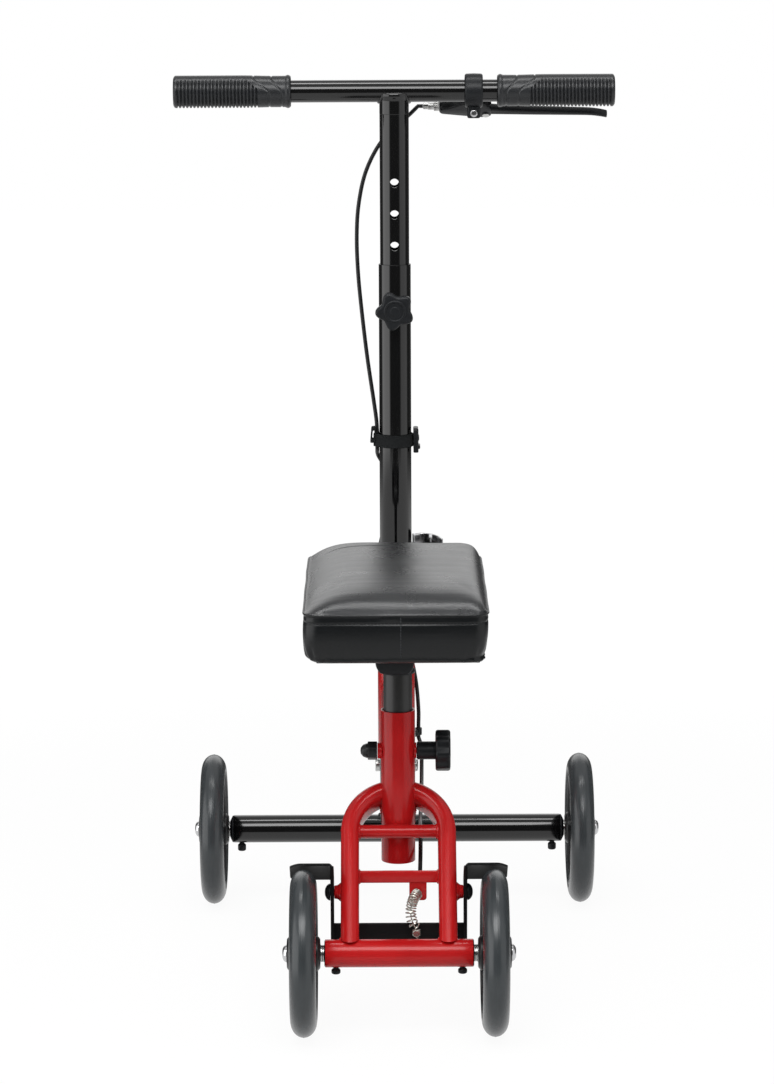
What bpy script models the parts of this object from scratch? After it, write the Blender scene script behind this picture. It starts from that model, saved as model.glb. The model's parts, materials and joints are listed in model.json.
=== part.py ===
"""A four-wheeled steerable knee walker: the rider kneels on the pad and pushes with the other leg.

All lengths are in metres. X is to the rider's right, Y is forward and Z is up.
The origin is on the ground, midway between the two axles.
"""
import math

import bmesh
import bpy
from mathutils import Matrix, Vector

# Running gear
wheelbase = 0.540
wheel_radius = 0.09525
tyre_width = 0.0315
tyre_mid_radius = 0.0765
tyre_bead_radius = 0.0733
rim_depth = 0.0075
rim_width = 0.025
hub_width = 0.038
hub_flange_radius = 0.020
spoke_count = 5
spoke_width = 0.011
spoke_thickness = 0.014
rear_spacer = 0.0046
front_spacer = 0.0016
axle_bolt_radius = 0.0050
bolt_head_radius = 0.0100
bolt_head_height = 0.0050
axle_bolt_grip = 0.022

# Axle tubes
rear_axle_radius = 0.0159
rear_axle_half = 0.0850
front_axle_radius = 0.01745
front_axle_half = 0.2126
axle_wall = 0.0025
rear_plug_flange = 0.0010
front_plug_flange = 0.0047
plug_chamfer = 0.0032
rear_set_screw_inset = 0.013
rear_set_screw_head = 0.0077
front_set_screw_inset = 0.0146
front_set_screw_head = 0.0107
set_screw_head_radius = 0.0052
set_screw_radius = 0.0029

# U frame, a flat-oval tube bent over the rear axle
leg_spacing = 0.112
leg_width = 0.021
leg_depth = 0.040
leg_wall = 0.002
leg_foot_rise = 0.0005
leg_slope = math.radians(47)
arch_rise = 0.2067
crossbar_forward = 0.0663
crossbar_height = 0.014
crossbar_thickness = 0.005
cross_tube_radius = 0.0078
cross_tube_lift = 0.0050
tab_x = 0.0221
tab_width = 0.020
tab_thickness = 0.003
tab_drop = 0.021
tab_hole_radius = 0.0016
tab_hole_drop = 0.012

# Seat tube, main beam and head tube
seat_tube_forward = 0.129
seat_tube_radius = 0.0198
seat_tube_wall = 0.0028
seat_tube_bottom = 0.169
seat_tube_top = 0.349
tube_wall = 0.0015
main_beam_radius = 0.01905
beam_rear_z = 0.226
beam_front_z = 0.283
head_tube_radius = 0.02335
head_tube_wall = 0.0025
head_tube_bottom = 0.204
head_tube_top = 0.337
cup_flange = 0.003
cup_depth = 0.008
weld_sink = 0.001

# Seat
post_radius = 0.01665
post_wall = 0.0020
post_bottom = 0.215
post_top = 0.425
seat_drop = 0.040
seat_lift = 0.045
clamp_z = 0.2999
guide_pin_radius = 0.0025
clamp_boss_radius = 0.0095
clamp_boss_length = 0.0040
clamp_stem_radius = 0.0105
clamp_nut_length = 0.011
clamp_nut_dome = 0.0085
seat_knob_radius = 0.0245
seat_knob_thickness = 0.0172
seat_knob_stem = 0.0219
clamp_screw_radius = 0.0039
socket_bottom = 0.393
socket_left = 0.0256
socket_right = 0.0190
socket_half_depth = 0.023
board_thickness = 0.0048
board_inset = 0.013
pad_bottom = 0.4410
pad_seam_z = 0.492
pad_crown = 0.0105
pad_width = 0.209
pad_rear = 0.028
pad_length = 0.356
pad_corner_radius = 0.020
pad_waist = 0.0025

# Steering
stem_radius = 0.021
stem_wall = 0.0035
steerer_radius = 0.0150
steerer_wall = 0.003
fork_bolt_z = 0.178
fork_bolt_radius = 0.0040
fork_bolt_head_radius = 0.00775
fork_bolt_head_height = 0.0033
fork_washer = 0.0027
fork_nut_height = 0.0057
steering_collar = 0.012
ear_half_gap = 0.010
ear_thickness = 0.006
knuckle_radius = 0.015
fold_pin_z = 0.395
fold_pin_radius = 0.005
fold_pin_head = 0.0035

# Column
column_radius = 0.0199
column_bottom = 0.444
column_top = 0.819
column_fit = 0.00035
stub_length = 0.094
stub_rise = 0.022
slit_width = 0.003
slit_top = 0.479
collar_height = 0.020
collar_wall = 0.005
collar_ear_reach = 0.015
collar_ear_thickness = 0.0055
quick_bolt_radius = 0.0028
quick_barrel_radius = 0.0040
cam_radius = 0.0085
cam_cheek = 0.0038
quick_lever_thickness = 0.0032
quick_blade_height = 0.023
quick_blade_lift = 0.0055
star_z = 0.765
star_knob_radius = 0.0245
star_knob_thickness = 0.014
star_neck = 0.003
star_lobes = 5
star_boss_radius = 0.0075
star_boss_length = 0.0055
hole_pitch = 0.039
hole_radius = 0.0040
bar_drop_pitches = 4
bar_lift_pitches = 1

# Handlebar
bar_z = 1.0323
bar_radius = 0.01365
bar_wall = 0.0020
inner_wall = 0.0020
bar_collar_height = 0.012
grip_inner_x = 0.1270
grip_outer_x = 0.2713
grip_radius = 0.0204
grip_end_wall = 0.003

# Brake lever
lever_tilt = math.radians(32)
band_inner_x = 0.087
band_outer_x = 0.109
band_wall = 0.0085
perch_inner_x = 0.0560
perch_outer_x = 0.121
perch_half_thickness = 0.0085
lever_slot = 0.0052
pivot_x = 0.1140
pivot_offset = 0.047
cable_offset = 0.040
lever_tip_x = 0.2655
lever_depth = 0.010
lever_half_thickness = 0.0048
lever_pin_radius = 0.0030
adjuster_nut_length = 0.0065
adjuster_length = 0.0130
adjuster_radius = 0.0045

# Rear brake
brake_pivot_forward = 0.053
pivot_boss_end = 0.0740
pivot_bolt_radius = 0.0040
pivot_cap_radius = 0.010
pivot_cap_height = 0.0065
arm_thickness = 0.004
shoe_start = math.radians(13)
shoe_end = math.radians(49)
shoe_steps = 5
shoe_gap = 0.0038
shoe_thickness = 0.003
shoe_outer_x = 0.125
shoe_corner = 0.016
plate_forward = 0.0495
plate_bottom = 0.0965
plate_height = 0.0195
anchor_x = 0.020
anchor_radius = 0.005
anchor_height = 0.007
anchor_z = 0.111

# Brake cable and spring
cable_radius = 0.0025
wire_radius = 0.00075
ferrule_radius = 0.0036
ferrule_length = 0.009
spring_radius = 0.0056
spring_wire_radius = 0.00055
spring_curls = 12
curl_points = 8
clip_z = 0.2225
clip_wall = 0.0015
clip_width = 0.009
clip_screw_radius = 0.0042

# Strap round the column and the cable
strap_bottom = 0.590
strap_height = 0.016
strap_thickness = 0.0020
buckle_reach = 0.0080

# Clearances
gap = 0.0003
running = 0.0002
weld_distance = 0.000005
flat_angle = math.radians(0.02)

# Facets
tyre_sides = 24
fine = 20
medium = 16
coarse = 12
small = 8
hidden = 8
arch_steps = 10

# Places worked out from the sizes above
rear_y = -wheelbase / 2
front_y = wheelbase / 2
rear_wheel_x = rear_axle_half + rear_spacer + hub_width / 2
front_wheel_x = front_axle_half + front_spacer + hub_width / 2
axle_z = wheel_radius
seat_y = rear_y + seat_tube_forward
cross_tube_y = seat_y - seat_tube_radius - cross_tube_radius + weld_sink
crossbar_y = rear_y + crossbar_forward
crossbar_z = axle_z + crossbar_forward * math.tan(leg_slope)
brake_pivot_y = rear_y + brake_pivot_forward
brake_pivot_z = axle_z + brake_pivot_forward * math.tan(leg_slope)
inner_tube_radius = column_radius - tube_wall - column_fit
stub_radius = inner_tube_radius
stub_bottom = fold_pin_z + stub_rise
stub_top = stub_bottom + stub_length
inner_tube_bottom = stub_top + bar_drop_pitches * hole_pitch + 0.005
steer_collar_bottom = head_tube_top + cup_flange + 2 * gap
board_top = pad_bottom - gap
board_bottom = board_top - board_thickness
socket_top = board_bottom - gap
cable_x = column_radius + cable_radius + gap


def clear_scene():
    """Removes every object, so the model starts from nothing."""
    for old in list(bpy.data.objects):
        bpy.data.objects.remove(old)


def new_collection(name):
    """A collection under the scene's own."""
    made = bpy.data.collections.new(name)
    bpy.context.scene.collection.children.link(made)
    return made


clear_scene()
parts = new_collection("knee_walker")
guides = new_collection("guides")


def new_material(name, colour, roughness, metallic):
    """A Principled material with its colour, roughness and metallic value set."""
    made = bpy.data.materials.new(name)
    made.use_nodes = True
    shader = made.node_tree.nodes["Principled BSDF"]
    shader.inputs["Base Color"].default_value = (*colour, 1.0)
    shader.inputs["Roughness"].default_value = roughness
    shader.inputs["Metallic"].default_value = metallic
    made.diffuse_color = (*colour, 1.0)
    return made


red_paint = new_material("red_paint", (0.50, 0.012, 0.018), 0.28, 0.0)
black_paint = new_material("black_paint", (0.008, 0.008, 0.009), 0.22, 0.0)
black_plastic = new_material("black_plastic", (0.018, 0.018, 0.020), 0.45, 0.0)
grip_rubber = new_material("grip_rubber", (0.022, 0.023, 0.026), 0.62, 0.0)
tyre_rubber = new_material("tyre_rubber", (0.055, 0.058, 0.062), 0.55, 0.0)
pad_vinyl = new_material("pad_vinyl", (0.020, 0.022, 0.025), 0.38, 0.0)
bright_steel = new_material("bright_steel", (0.62, 0.62, 0.60), 0.22, 1.0)
dark_board = new_material("dark_board", (0.012, 0.012, 0.012), 0.70, 0.0)
strap_web = new_material("strap_web", (0.010, 0.011, 0.012), 0.80, 0.0)


def finish_object(made, name):
    """Names an object, links it to the parts and returns it."""
    made.name = name
    parts.objects.link(made)
    return made


def from_bmesh(name, bm):
    """Turns a bmesh into an object."""
    mesh = bpy.data.meshes.new(name)
    bm.to_mesh(mesh)
    bm.free()
    return finish_object(bpy.data.objects.new(name, mesh), name)


def point_along(made, direction, spin=0.0):
    """Turns an object so its own Z axis lies along direction, after a spin about that axis."""
    turn = Vector(direction).normalized().to_track_quat("Z", "Y").to_matrix().to_4x4()
    made.rotation_euler = (turn @ Matrix.Rotation(spin, 4, "Z")).to_euler()


def rod(name, start, end, radius, sides=medium, end_radius=None):
    """A round bar from start to end, or a cone when end_radius is given."""
    start = Vector(start)
    end = Vector(end)
    bm = bmesh.new()
    bmesh.ops.create_cone(
        bm,
        cap_ends=True,
        segments=sides,
        radius1=radius,
        radius2=radius if end_radius is None else end_radius,
        depth=(end - start).length,
    )
    made = from_bmesh(name, bm)
    made.location = (start + end) / 2
    point_along(made, end - start)
    return made


def block(name, low, high, bevel=0.0, segments=1):
    """A box between two corners, with its edges rounded when bevel is given."""
    low = Vector(low)
    high = Vector(high)
    bm = bmesh.new()
    bmesh.ops.create_cube(bm, size=1.0)
    bmesh.ops.scale(bm, vec=high - low, verts=bm.verts)
    made = from_bmesh(name, bm)
    made.location = (low + high) / 2
    if bevel:
        add_bevel(made, bevel, segments)
    return made


def add_bevel(made, width, segments=1):
    """Rounds an object's sharp edges."""
    rounding = made.modifiers.new("rounding", "BEVEL")
    rounding.width = width
    rounding.segments = segments
    rounding.limit_method = "ANGLE"
    rounding.angle_limit = math.radians(40)


def turned(name, profile, centre, direction, steps=medium, spin=0.0, ring=False):
    """A turned shape. The profile is (radius, height) pairs down the outer side, top to bottom."""
    bm = bmesh.new()
    rim = [bm.verts.new((radius, 0.0, height)) for radius, height in profile]
    for first, second in zip(rim, rim[1:]):
        bm.edges.new((first, second))
    if ring:
        bm.edges.new((rim[-1], rim[0]))
    made = from_bmesh(name, bm)
    screw = made.modifiers.new("turning", "SCREW")
    screw.steps = steps
    screw.render_steps = steps
    screw.use_merge_vertices = True
    screw.merge_threshold = 0.00001
    made.location = centre
    point_along(made, direction, spin)
    return made


def curve_mesh(name, curve):
    """Turns curve data into a mesh object with its caps welded on."""
    source = bpy.data.objects.new(name, curve)
    parts.objects.link(source)
    bpy.context.view_layer.update()
    shaped = source.evaluated_get(bpy.context.evaluated_depsgraph_get())
    mesh = bpy.data.meshes.new_from_object(shaped)
    bm = bmesh.new()
    bm.from_mesh(mesh)
    bmesh.ops.remove_doubles(bm, verts=bm.verts, dist=weld_distance)
    bmesh.ops.recalc_face_normals(bm, faces=bm.faces)
    bm.to_mesh(mesh)
    bm.free()
    placed = source.matrix_world.copy()
    bpy.data.objects.remove(source)
    made = finish_object(bpy.data.objects.new(name, mesh), name)
    made.matrix_world = placed
    return made


def add_spline(curve, points, cyclic):
    """Adds a polyline to a curve."""
    spline = curve.splines.new("POLY")
    spline.points.add(len(points) - 1)
    for slot, point in zip(spline.points, points):
        slot.co = (*Vector(point).to_3d(), 1.0)
    spline.use_cyclic_u = cyclic


def wire(name, points, radius, resolution):
    """A round wire or cable along points, closed at both ends."""
    curve = bpy.data.curves.new(name, "CURVE")
    curve.dimensions = "3D"
    curve.twist_mode = "MINIMUM"
    curve.bevel_depth = radius
    curve.bevel_resolution = resolution
    curve.use_fill_caps = True
    add_spline(curve, points, False)
    return curve_mesh(name, curve)


def plate(name, outlines, thickness, centre=(0.0, 0.0, 0.0), across=(1, 0, 0), along=(0, 1, 0)):
    """A flat plate of the given outlines, later ones being holes, in the plane of across and along."""
    curve = bpy.data.curves.new(name, "CURVE")
    curve.dimensions = "2D"
    curve.fill_mode = "BOTH"
    curve.extrude = thickness / 2
    for outline in outlines:
        add_spline(curve, outline, True)
    made = curve_mesh(name, curve)
    across = Vector(across).normalized()
    along = Vector(along).normalized()
    normal = across.cross(along)
    turn = Matrix((across, along, normal)).transposed().to_4x4()
    made.matrix_world = Matrix.Translation(centre) @ turn
    return made


def circle(radius, steps, centre=(0.0, 0.0), start=0.0, sweep=2 * math.pi, closed=True):
    """Points on a circle, or on an arc with both its ends when closed is False."""
    count = steps if closed else steps + 1
    points = []
    for step in range(count):
        angle = start + sweep * step / steps
        points.append((centre[0] + radius * math.cos(angle), centre[1] + radius * math.sin(angle)))
    return points


def apply_modifiers(made):
    """Replaces an object's mesh with its evaluated one."""
    bpy.context.view_layer.update()
    shaped = made.evaluated_get(bpy.context.evaluated_depsgraph_get())
    mesh = bpy.data.meshes.new_from_object(shaped)
    bm = bmesh.new()
    bm.from_mesh(mesh)
    bmesh.ops.remove_doubles(bm, verts=bm.verts, dist=weld_distance)
    bmesh.ops.dissolve_degenerate(bm, edges=bm.edges, dist=weld_distance)
    bmesh.ops.dissolve_limit(bm, angle_limit=flat_angle, verts=bm.verts, edges=bm.edges)
    bm.to_mesh(mesh)
    bm.free()
    made.modifiers.clear()
    made.data = mesh
    mesh.name = made.name


def combine(target, tools, operation):
    """Joins tools to the target, or cuts them out of it, one after another."""
    for tool in tools:
        step = target.modifiers.new(tool.name, "BOOLEAN")
        step.operation = operation
        step.object = tool
        step.solver = "EXACT"
    apply_modifiers(target)
    for tool in tools:
        bpy.data.objects.remove(tool)
    return target


def join(target, *tools):
    """Welds the tools to the target."""
    return combine(target, tools, "UNION")


def cut(target, *tools):
    """Cuts the tools out of the target."""
    return combine(target, tools, "DIFFERENCE")


def dress(made, material):
    """Gives an object its material and smooth shading."""
    if made.modifiers:
        apply_modifiers(made)
    made.data.materials.clear()
    made.data.materials.append(material)
    made.data.shade_smooth()
    made.data.set_sharp_from_angle(angle=math.radians(35))
    return made


def axis_empty(name, place, parent=None):
    """An empty on a joint's axis."""
    empty = bpy.data.objects.new(name, None)
    empty.empty_display_size = 0.03
    guides.objects.link(empty)
    empty.location = place
    if parent:
        attach([empty], parent)
    return empty


def attach(children, parent):
    """Parents objects without moving them."""
    bpy.context.view_layer.update()
    for child in children:
        placed = child.matrix_world.copy()
        child.parent = parent
        child.matrix_world = placed


def smooth_route(knots, spacing):
    """Evenly spaced points on a smooth curve through the knots."""
    knots = [Vector(knot) for knot in knots]
    padded = [2 * knots[0] - knots[1], *knots, 2 * knots[-1] - knots[-2]]
    dense = []
    for before, start, end, after in zip(padded, padded[1:], padded[2:], padded[3:]):
        for step in range(20):
            t = step / 20
            dense.append(
                0.5 * (
                    2 * start
                    + (end - before) * t
                    + (2 * before - 5 * start + 4 * end - after) * t ** 2
                    + (3 * start - before - 3 * end + after) * t ** 3
                )
            )
    dense.append(knots[-1])
    travelled = [0.0]
    for first, second in zip(dense, dense[1:]):
        travelled.append(travelled[-1] + (second - first).length)
    count = max(2, round(travelled[-1] / spacing))
    points = []
    index = 0
    for step in range(count + 1):
        target = travelled[-1] * step / count
        while index < len(dense) - 2 and travelled[index + 1] < target:
            index += 1
        share = (target - travelled[index]) / (travelled[index + 1] - travelled[index])
        points.append(dense[index].lerp(dense[index + 1], share))
    return points


def make_tyre(name, place):
    """A balloon tyre whose flats lie on the wheel's real radius."""
    end_angle = math.radians(128)
    arc_points = 6
    half_step = end_angle / (arc_points - 1)
    rise = (wheel_radius / math.cos(math.pi / tyre_sides) - tyre_mid_radius) / math.cos(half_step)
    fall = (tyre_mid_radius - tyre_bead_radius - 0.0005) / -math.cos(end_angle)
    profile = []
    for index in range(arc_points):
        angle = end_angle * (1 - 2 * index / (arc_points - 1))
        reach = rise if math.cos(angle) > 0 else fall
        profile.append((tyre_mid_radius + reach * math.cos(angle), tyre_width / 2 * math.sin(angle)))
    bead = rim_width / 2 - gap
    profile.append((tyre_bead_radius, -bead))
    profile.append((tyre_bead_radius, bead))
    half_turn = math.pi / tyre_sides
    return dress(turned(name, profile, place, (1, 0, 0), tyre_sides, half_turn, ring=True), tyre_rubber)


def make_hub(name, place):
    """A moulded hub: flanged barrel, spokes and a rim under the tyre."""
    x, y, z = place
    bore = axle_bolt_radius + running + gap
    half = hub_width / 2
    barrel = [
        (hub_flange_radius - 0.0025, half),
        (hub_flange_radius, half - 0.003),
        (hub_flange_radius, 0.003 - half),
        (hub_flange_radius - 0.0025, -half),
        (bore, -half),
        (bore, half),
    ]
    made = turned(name, barrel, place, (1, 0, 0), coarse, ring=True)
    outer = tyre_bead_radius - gap
    inner = outer - rim_depth
    rim = [
        (outer, rim_width / 2),
        (outer, -rim_width / 2),
        (inner, -rim_width / 2 + 0.002),
        (inner, rim_width / 2 - 0.002),
    ]
    tools = [turned(name + "_rim", rim, place, (1, 0, 0), tyre_sides, math.pi / tyre_sides, ring=True)]
    for index in range(spoke_count):
        angle = 2 * math.pi * index / spoke_count + math.pi / 2
        spoke = block(
            name + "_spoke",
            (-spoke_thickness / 2, -spoke_width / 2, hub_flange_radius - 0.003),
            (spoke_thickness / 2, spoke_width / 2, inner + rim_depth / 2),
        )
        outward = (hub_flange_radius - 0.003 + inner + rim_depth / 2) / 2
        spoke.location = (x, y + outward * math.cos(angle), z + outward * math.sin(angle))
        spoke.rotation_euler = (angle - math.pi / 2, 0, 0)
        tools.append(spoke)
    return dress(join(made, *tools), black_plastic)


def make_axle_bolt(name, side, hub_face, shank_end, place_y):
    """A domed bolt that carries one wheel and ends inside the axle tube."""
    head = hub_face + gap
    profile = [
        (0.0, head + bolt_head_height),
        (bolt_head_radius * 0.55, head + bolt_head_height),
        (bolt_head_radius * 0.9, head + bolt_head_height * 0.55),
        (bolt_head_radius, head),
        (axle_bolt_radius, head),
        (axle_bolt_radius, shank_end),
        (0.0, shank_end),
    ]
    return dress(turned(name, profile, (0, place_y, axle_z), (side, 0, 0), coarse), bright_steel)


def make_wheel(prefix, side, place_y, wheel_x, axle_half, flange, axle_radius, screw_inset, screw_head):
    """One wheel with its bolt, axle plug and set screw. Returns turning and fixed pieces."""
    place = (side * wheel_x, place_y, axle_z)
    tyre = make_tyre(prefix + "_tyre", place)
    hub = make_hub(prefix + "_hub", place)
    hub_inner = wheel_x - hub_width / 2
    bore = axle_bolt_radius + gap
    bolt_end = axle_half - axle_bolt_grip
    bolt = make_axle_bolt(prefix + "_bolt", side, wheel_x + hub_width / 2, bolt_end, place_y)
    shoulder = axle_half - flange
    spigot = axle_radius - axle_wall - gap
    spigot_end = bolt_end + 0.0045
    chamfer = min(plug_chamfer, flange / 2)
    plug_profile = [
        (bolt_head_radius, hub_inner - gap),
        (bolt_head_radius, axle_half),
        (axle_radius - 2 * chamfer - 0.0004, axle_half),
        (axle_radius - 0.0004, axle_half - chamfer),
        (axle_radius - 0.0004, shoulder + gap),
        (spigot, shoulder + gap),
        (spigot, spigot_end),
        (bore, spigot_end),
        (bore, hub_inner - gap),
    ]
    plug = turned(prefix + "_plug", plug_profile, (0, place_y, axle_z), (side, 0, 0), coarse, ring=True)
    screw_x = side * (axle_half - screw_inset)
    reach = axle_radius + 0.004
    hole = set_screw_radius + gap
    cut(plug, rod("hole", (screw_x, place_y, axle_z - reach), (screw_x, place_y, axle_z), hole, small))
    dress(plug, black_plastic)
    head_top = -axle_radius - gap
    screw_profile = [
        (0.0, -bore - gap),
        (set_screw_radius, -bore - gap),
        (set_screw_radius, head_top - 0.001),
        (set_screw_head_radius, head_top - 0.001 - screw_head * 0.25),
        (set_screw_head_radius, head_top - screw_head * 0.9),
        (set_screw_head_radius * 0.7, head_top - screw_head),
        (0.0, head_top - screw_head),
    ]
    screw = turned(prefix + "_set_screw", screw_profile, (screw_x, place_y, axle_z), (0, 0, 1), small)
    dress(screw, black_plastic)
    return [tyre, hub], [bolt, plug, screw]


def make_rear_wheel(prefix, side):
    """A rear wheel on the frame's axle tube."""
    return make_wheel(
        prefix, side, rear_y, rear_wheel_x, rear_axle_half, rear_plug_flange, rear_axle_radius,
        rear_set_screw_inset, rear_set_screw_head,
    )


def make_front_wheel(prefix, side):
    """A front wheel on the steered axle tube."""
    return make_wheel(
        prefix, side, front_y, front_wheel_x, front_axle_half, front_plug_flange, front_axle_radius,
        front_set_screw_inset, front_set_screw_head,
    )


def axle_tube(name, place_y, radius, half, flange, screw_inset):
    """An open axle tube with a screw hole near each end, underneath."""
    shoulder = half - flange
    inner = radius - axle_wall
    profile = [(radius, shoulder), (radius, -shoulder), (inner, -shoulder), (inner, shoulder)]
    made = turned(name, profile, (0, place_y, axle_z), (1, 0, 0), fine, ring=True)
    holes = []
    for side in (-1, 1):
        x = side * (half - screw_inset)
        low = (x, place_y, axle_z - radius - 0.004)
        high = (x, place_y, axle_z - inner + 0.003)
        holes.append(rod("screw_hole", low, high, set_screw_radius + gap, small))
    return cut(made, *holes)


def stadium(width, depth, steps):
    """A flat-oval outline: straight sides along Y and round ends."""
    radius = width / 2
    straight = depth / 2 - radius
    points = circle(radius, steps, (0.0, straight), 0.0, math.pi, closed=False)
    points += circle(radius, steps, (0.0, -straight), math.pi, math.pi, closed=False)
    return points


def u_sweep(name, width, depth, corner_steps, foot=0.0):
    """The U frame's path swept with a flat-oval section, from foot below the axle's centre."""
    bend_radius = leg_spacing / 2
    section = bpy.data.curves.new(name + "_section", "CURVE")
    section.dimensions = "2D"
    add_spline(section, stadium(width, depth, corner_steps), True)
    section_object = bpy.data.objects.new(name + "_section", section)
    parts.objects.link(section_object)
    path = [(-bend_radius, -foot)]
    path += circle(bend_radius, arch_steps, (0.0, arch_rise - bend_radius), math.pi, -math.pi, closed=False)
    path += [(bend_radius, -foot)]
    curve = bpy.data.curves.new(name, "CURVE")
    curve.dimensions = "2D"
    curve.fill_mode = "NONE"
    curve.bevel_mode = "OBJECT"
    curve.bevel_object = section_object
    curve.use_fill_caps = True
    add_spline(curve, path, False)
    made = curve_mesh(name, curve)
    bpy.data.objects.remove(section_object)
    made.matrix_world = Matrix.Translation((0, rear_y, axle_z)) @ Matrix.Rotation(leg_slope, 4, "X")
    return made


def make_frame():
    """The red weldment: rear axle, U frame, cross pieces, seat tube, main beam and head tube."""
    frame = axle_tube("frame", rear_y, rear_axle_radius, rear_axle_half, rear_plug_flange, rear_set_screw_inset)
    legs = u_sweep("legs", leg_width, leg_depth, 4)
    hollow = u_sweep("hollow", leg_width - 2 * leg_wall, leg_depth - 2 * leg_wall, 2, 0.004)
    foot_low = (-leg_spacing, rear_y - leg_depth, axle_z - leg_depth)
    cut(legs, hollow, block("foot", foot_low, (leg_spacing, rear_y, axle_z + rear_axle_radius + leg_foot_rise)))
    join(frame, legs)
    axle_end = rear_axle_half + 0.01
    axle_bore = rear_axle_radius - axle_wall - gap
    bore = rod("axle_bore", (-axle_end, rear_y, axle_z), (axle_end, rear_y, axle_z), axle_bore, fine)
    cut(frame, bore)

    inside = (leg_spacing - leg_width) / 2 + leg_wall / 2
    tube_rise = (cross_tube_y - rear_y) * math.tan(leg_slope) + axle_z + cross_tube_lift
    cross = rod("cross", (-inside, cross_tube_y, tube_rise), (inside, cross_tube_y, tube_rise), cross_tube_radius, coarse)
    half_bar = Vector((0, crossbar_thickness / 2, crossbar_height / 2))
    middle = Vector((0, crossbar_y, crossbar_z))
    across = Vector((inside, 0, 0))
    bar = block("bar", middle - half_bar - across, middle + half_bar + across)
    bar_bottom = crossbar_z - crossbar_height / 2
    tab_low = (tab_x - tab_width / 2, crossbar_y - tab_thickness / 2, bar_bottom - tab_drop)
    tab_high = (tab_x + tab_width / 2, crossbar_y + tab_thickness / 2, bar_bottom + weld_sink)
    tab = block("tab", tab_low, tab_high)

    seat_tube = rod("seat_tube", (0, seat_y, seat_tube_bottom), (0, seat_y, seat_tube_top), seat_tube_radius, fine)
    beam = rod("beam", (0, seat_y, beam_rear_z), (0, front_y, beam_front_z), main_beam_radius, medium)
    head = rod("head", (0, front_y, head_tube_bottom), (0, front_y, head_tube_top), head_tube_radius, fine)
    tools = [cross, bar, tab, seat_tube, beam, head]
    leg_outer = (leg_spacing + leg_width) / 2
    for side in (-1, 1):
        boss = [
            (0.0, pivot_boss_end),
            (0.0075, pivot_boss_end),
            (0.0080, leg_outer + 0.0040),
            (0.0110, leg_outer),
            (0.0110, leg_outer - leg_wall / 2),
            (0.0, leg_outer - leg_wall / 2),
        ]
        tools.append(turned("pivot_boss", boss, (0, brake_pivot_y, brake_pivot_z), (side, 0, 0), coarse))
    boss_root = seat_tube_radius - seat_tube_wall / 2
    left_boss = -(seat_tube_radius + clamp_boss_length)
    tools.append(rod("nut_boss", (-boss_root, seat_y, clamp_z), (left_boss, seat_y, clamp_z), clamp_boss_radius, coarse))
    right_boss = seat_tube_radius + 0.0015
    tools.append(rod("knob_boss", (boss_root, seat_y, clamp_z), (right_boss, seat_y, clamp_z), 0.0075, coarse))
    join(frame, *tools)

    beam_hollow = main_beam_radius - 0.002
    beam_dir = (Vector((0, front_y, beam_front_z)) - Vector((0, seat_y, beam_rear_z))).normalized()
    inner_start = Vector((0, seat_y, beam_rear_z)) + beam_dir * 0.004
    inner_end = Vector((0, front_y, beam_front_z)) - beam_dir * 0.004
    post_bore = seat_tube_radius - seat_tube_wall
    head_bore = head_tube_radius - head_tube_wall
    hole = tab_hole_radius
    tab_hole_z = bar_bottom - tab_hole_drop
    over = 0.01
    cutters = [
        rod("beam_bore", inner_start, inner_end, beam_hollow, hidden),
        rod("post_bore", (0, seat_y, seat_tube_bottom - over), (0, seat_y, seat_tube_top + over), post_bore, fine),
        rod("head_bore", (0, front_y, head_tube_bottom - over), (0, front_y, head_tube_top + over), head_bore, fine),
        rod("tab_hole", (tab_x, crossbar_y - over, tab_hole_z), (tab_x, crossbar_y + over, tab_hole_z), hole, small),
        rod("pin_hole", (left_boss - over, seat_y, clamp_z), (-0.012, seat_y, clamp_z), guide_pin_radius + gap, small),
        rod("screw_hole", (0.012, seat_y, clamp_z), (right_boss + over, seat_y, clamp_z),
            clamp_screw_radius + gap, coarse),
    ]
    for side in (-1, 1):
        start = (side * (leg_outer - 0.0005), brake_pivot_y, brake_pivot_z)
        end = (side * (pivot_boss_end + over), brake_pivot_y, brake_pivot_z)
        cutters.append(rod("pivot_hole", start, end, pivot_bolt_radius + gap, coarse))
    cut(frame, *cutters)
    return dress(frame, red_paint)


def make_head_cups():
    """Two bearing cups pressed into the head tube."""
    made = []
    spigot = head_tube_radius - head_tube_wall - gap
    for name, face, away in (("head_cup_lower", head_tube_bottom, -1), ("head_cup_upper", head_tube_top, 1)):
        profile = [
            (head_tube_radius - 0.0008, cup_flange + gap),
            (head_tube_radius, gap + 0.0008),
            (head_tube_radius, gap),
            (spigot, gap),
            (spigot, -cup_depth),
            (steerer_radius + running + gap, -cup_depth),
            (steerer_radius + running + gap, cup_flange + gap),
        ]
        made.append(dress(turned(name, profile, (0, front_y, face), (0, 0, away), medium, ring=True), black_plastic))
    return made


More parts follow.
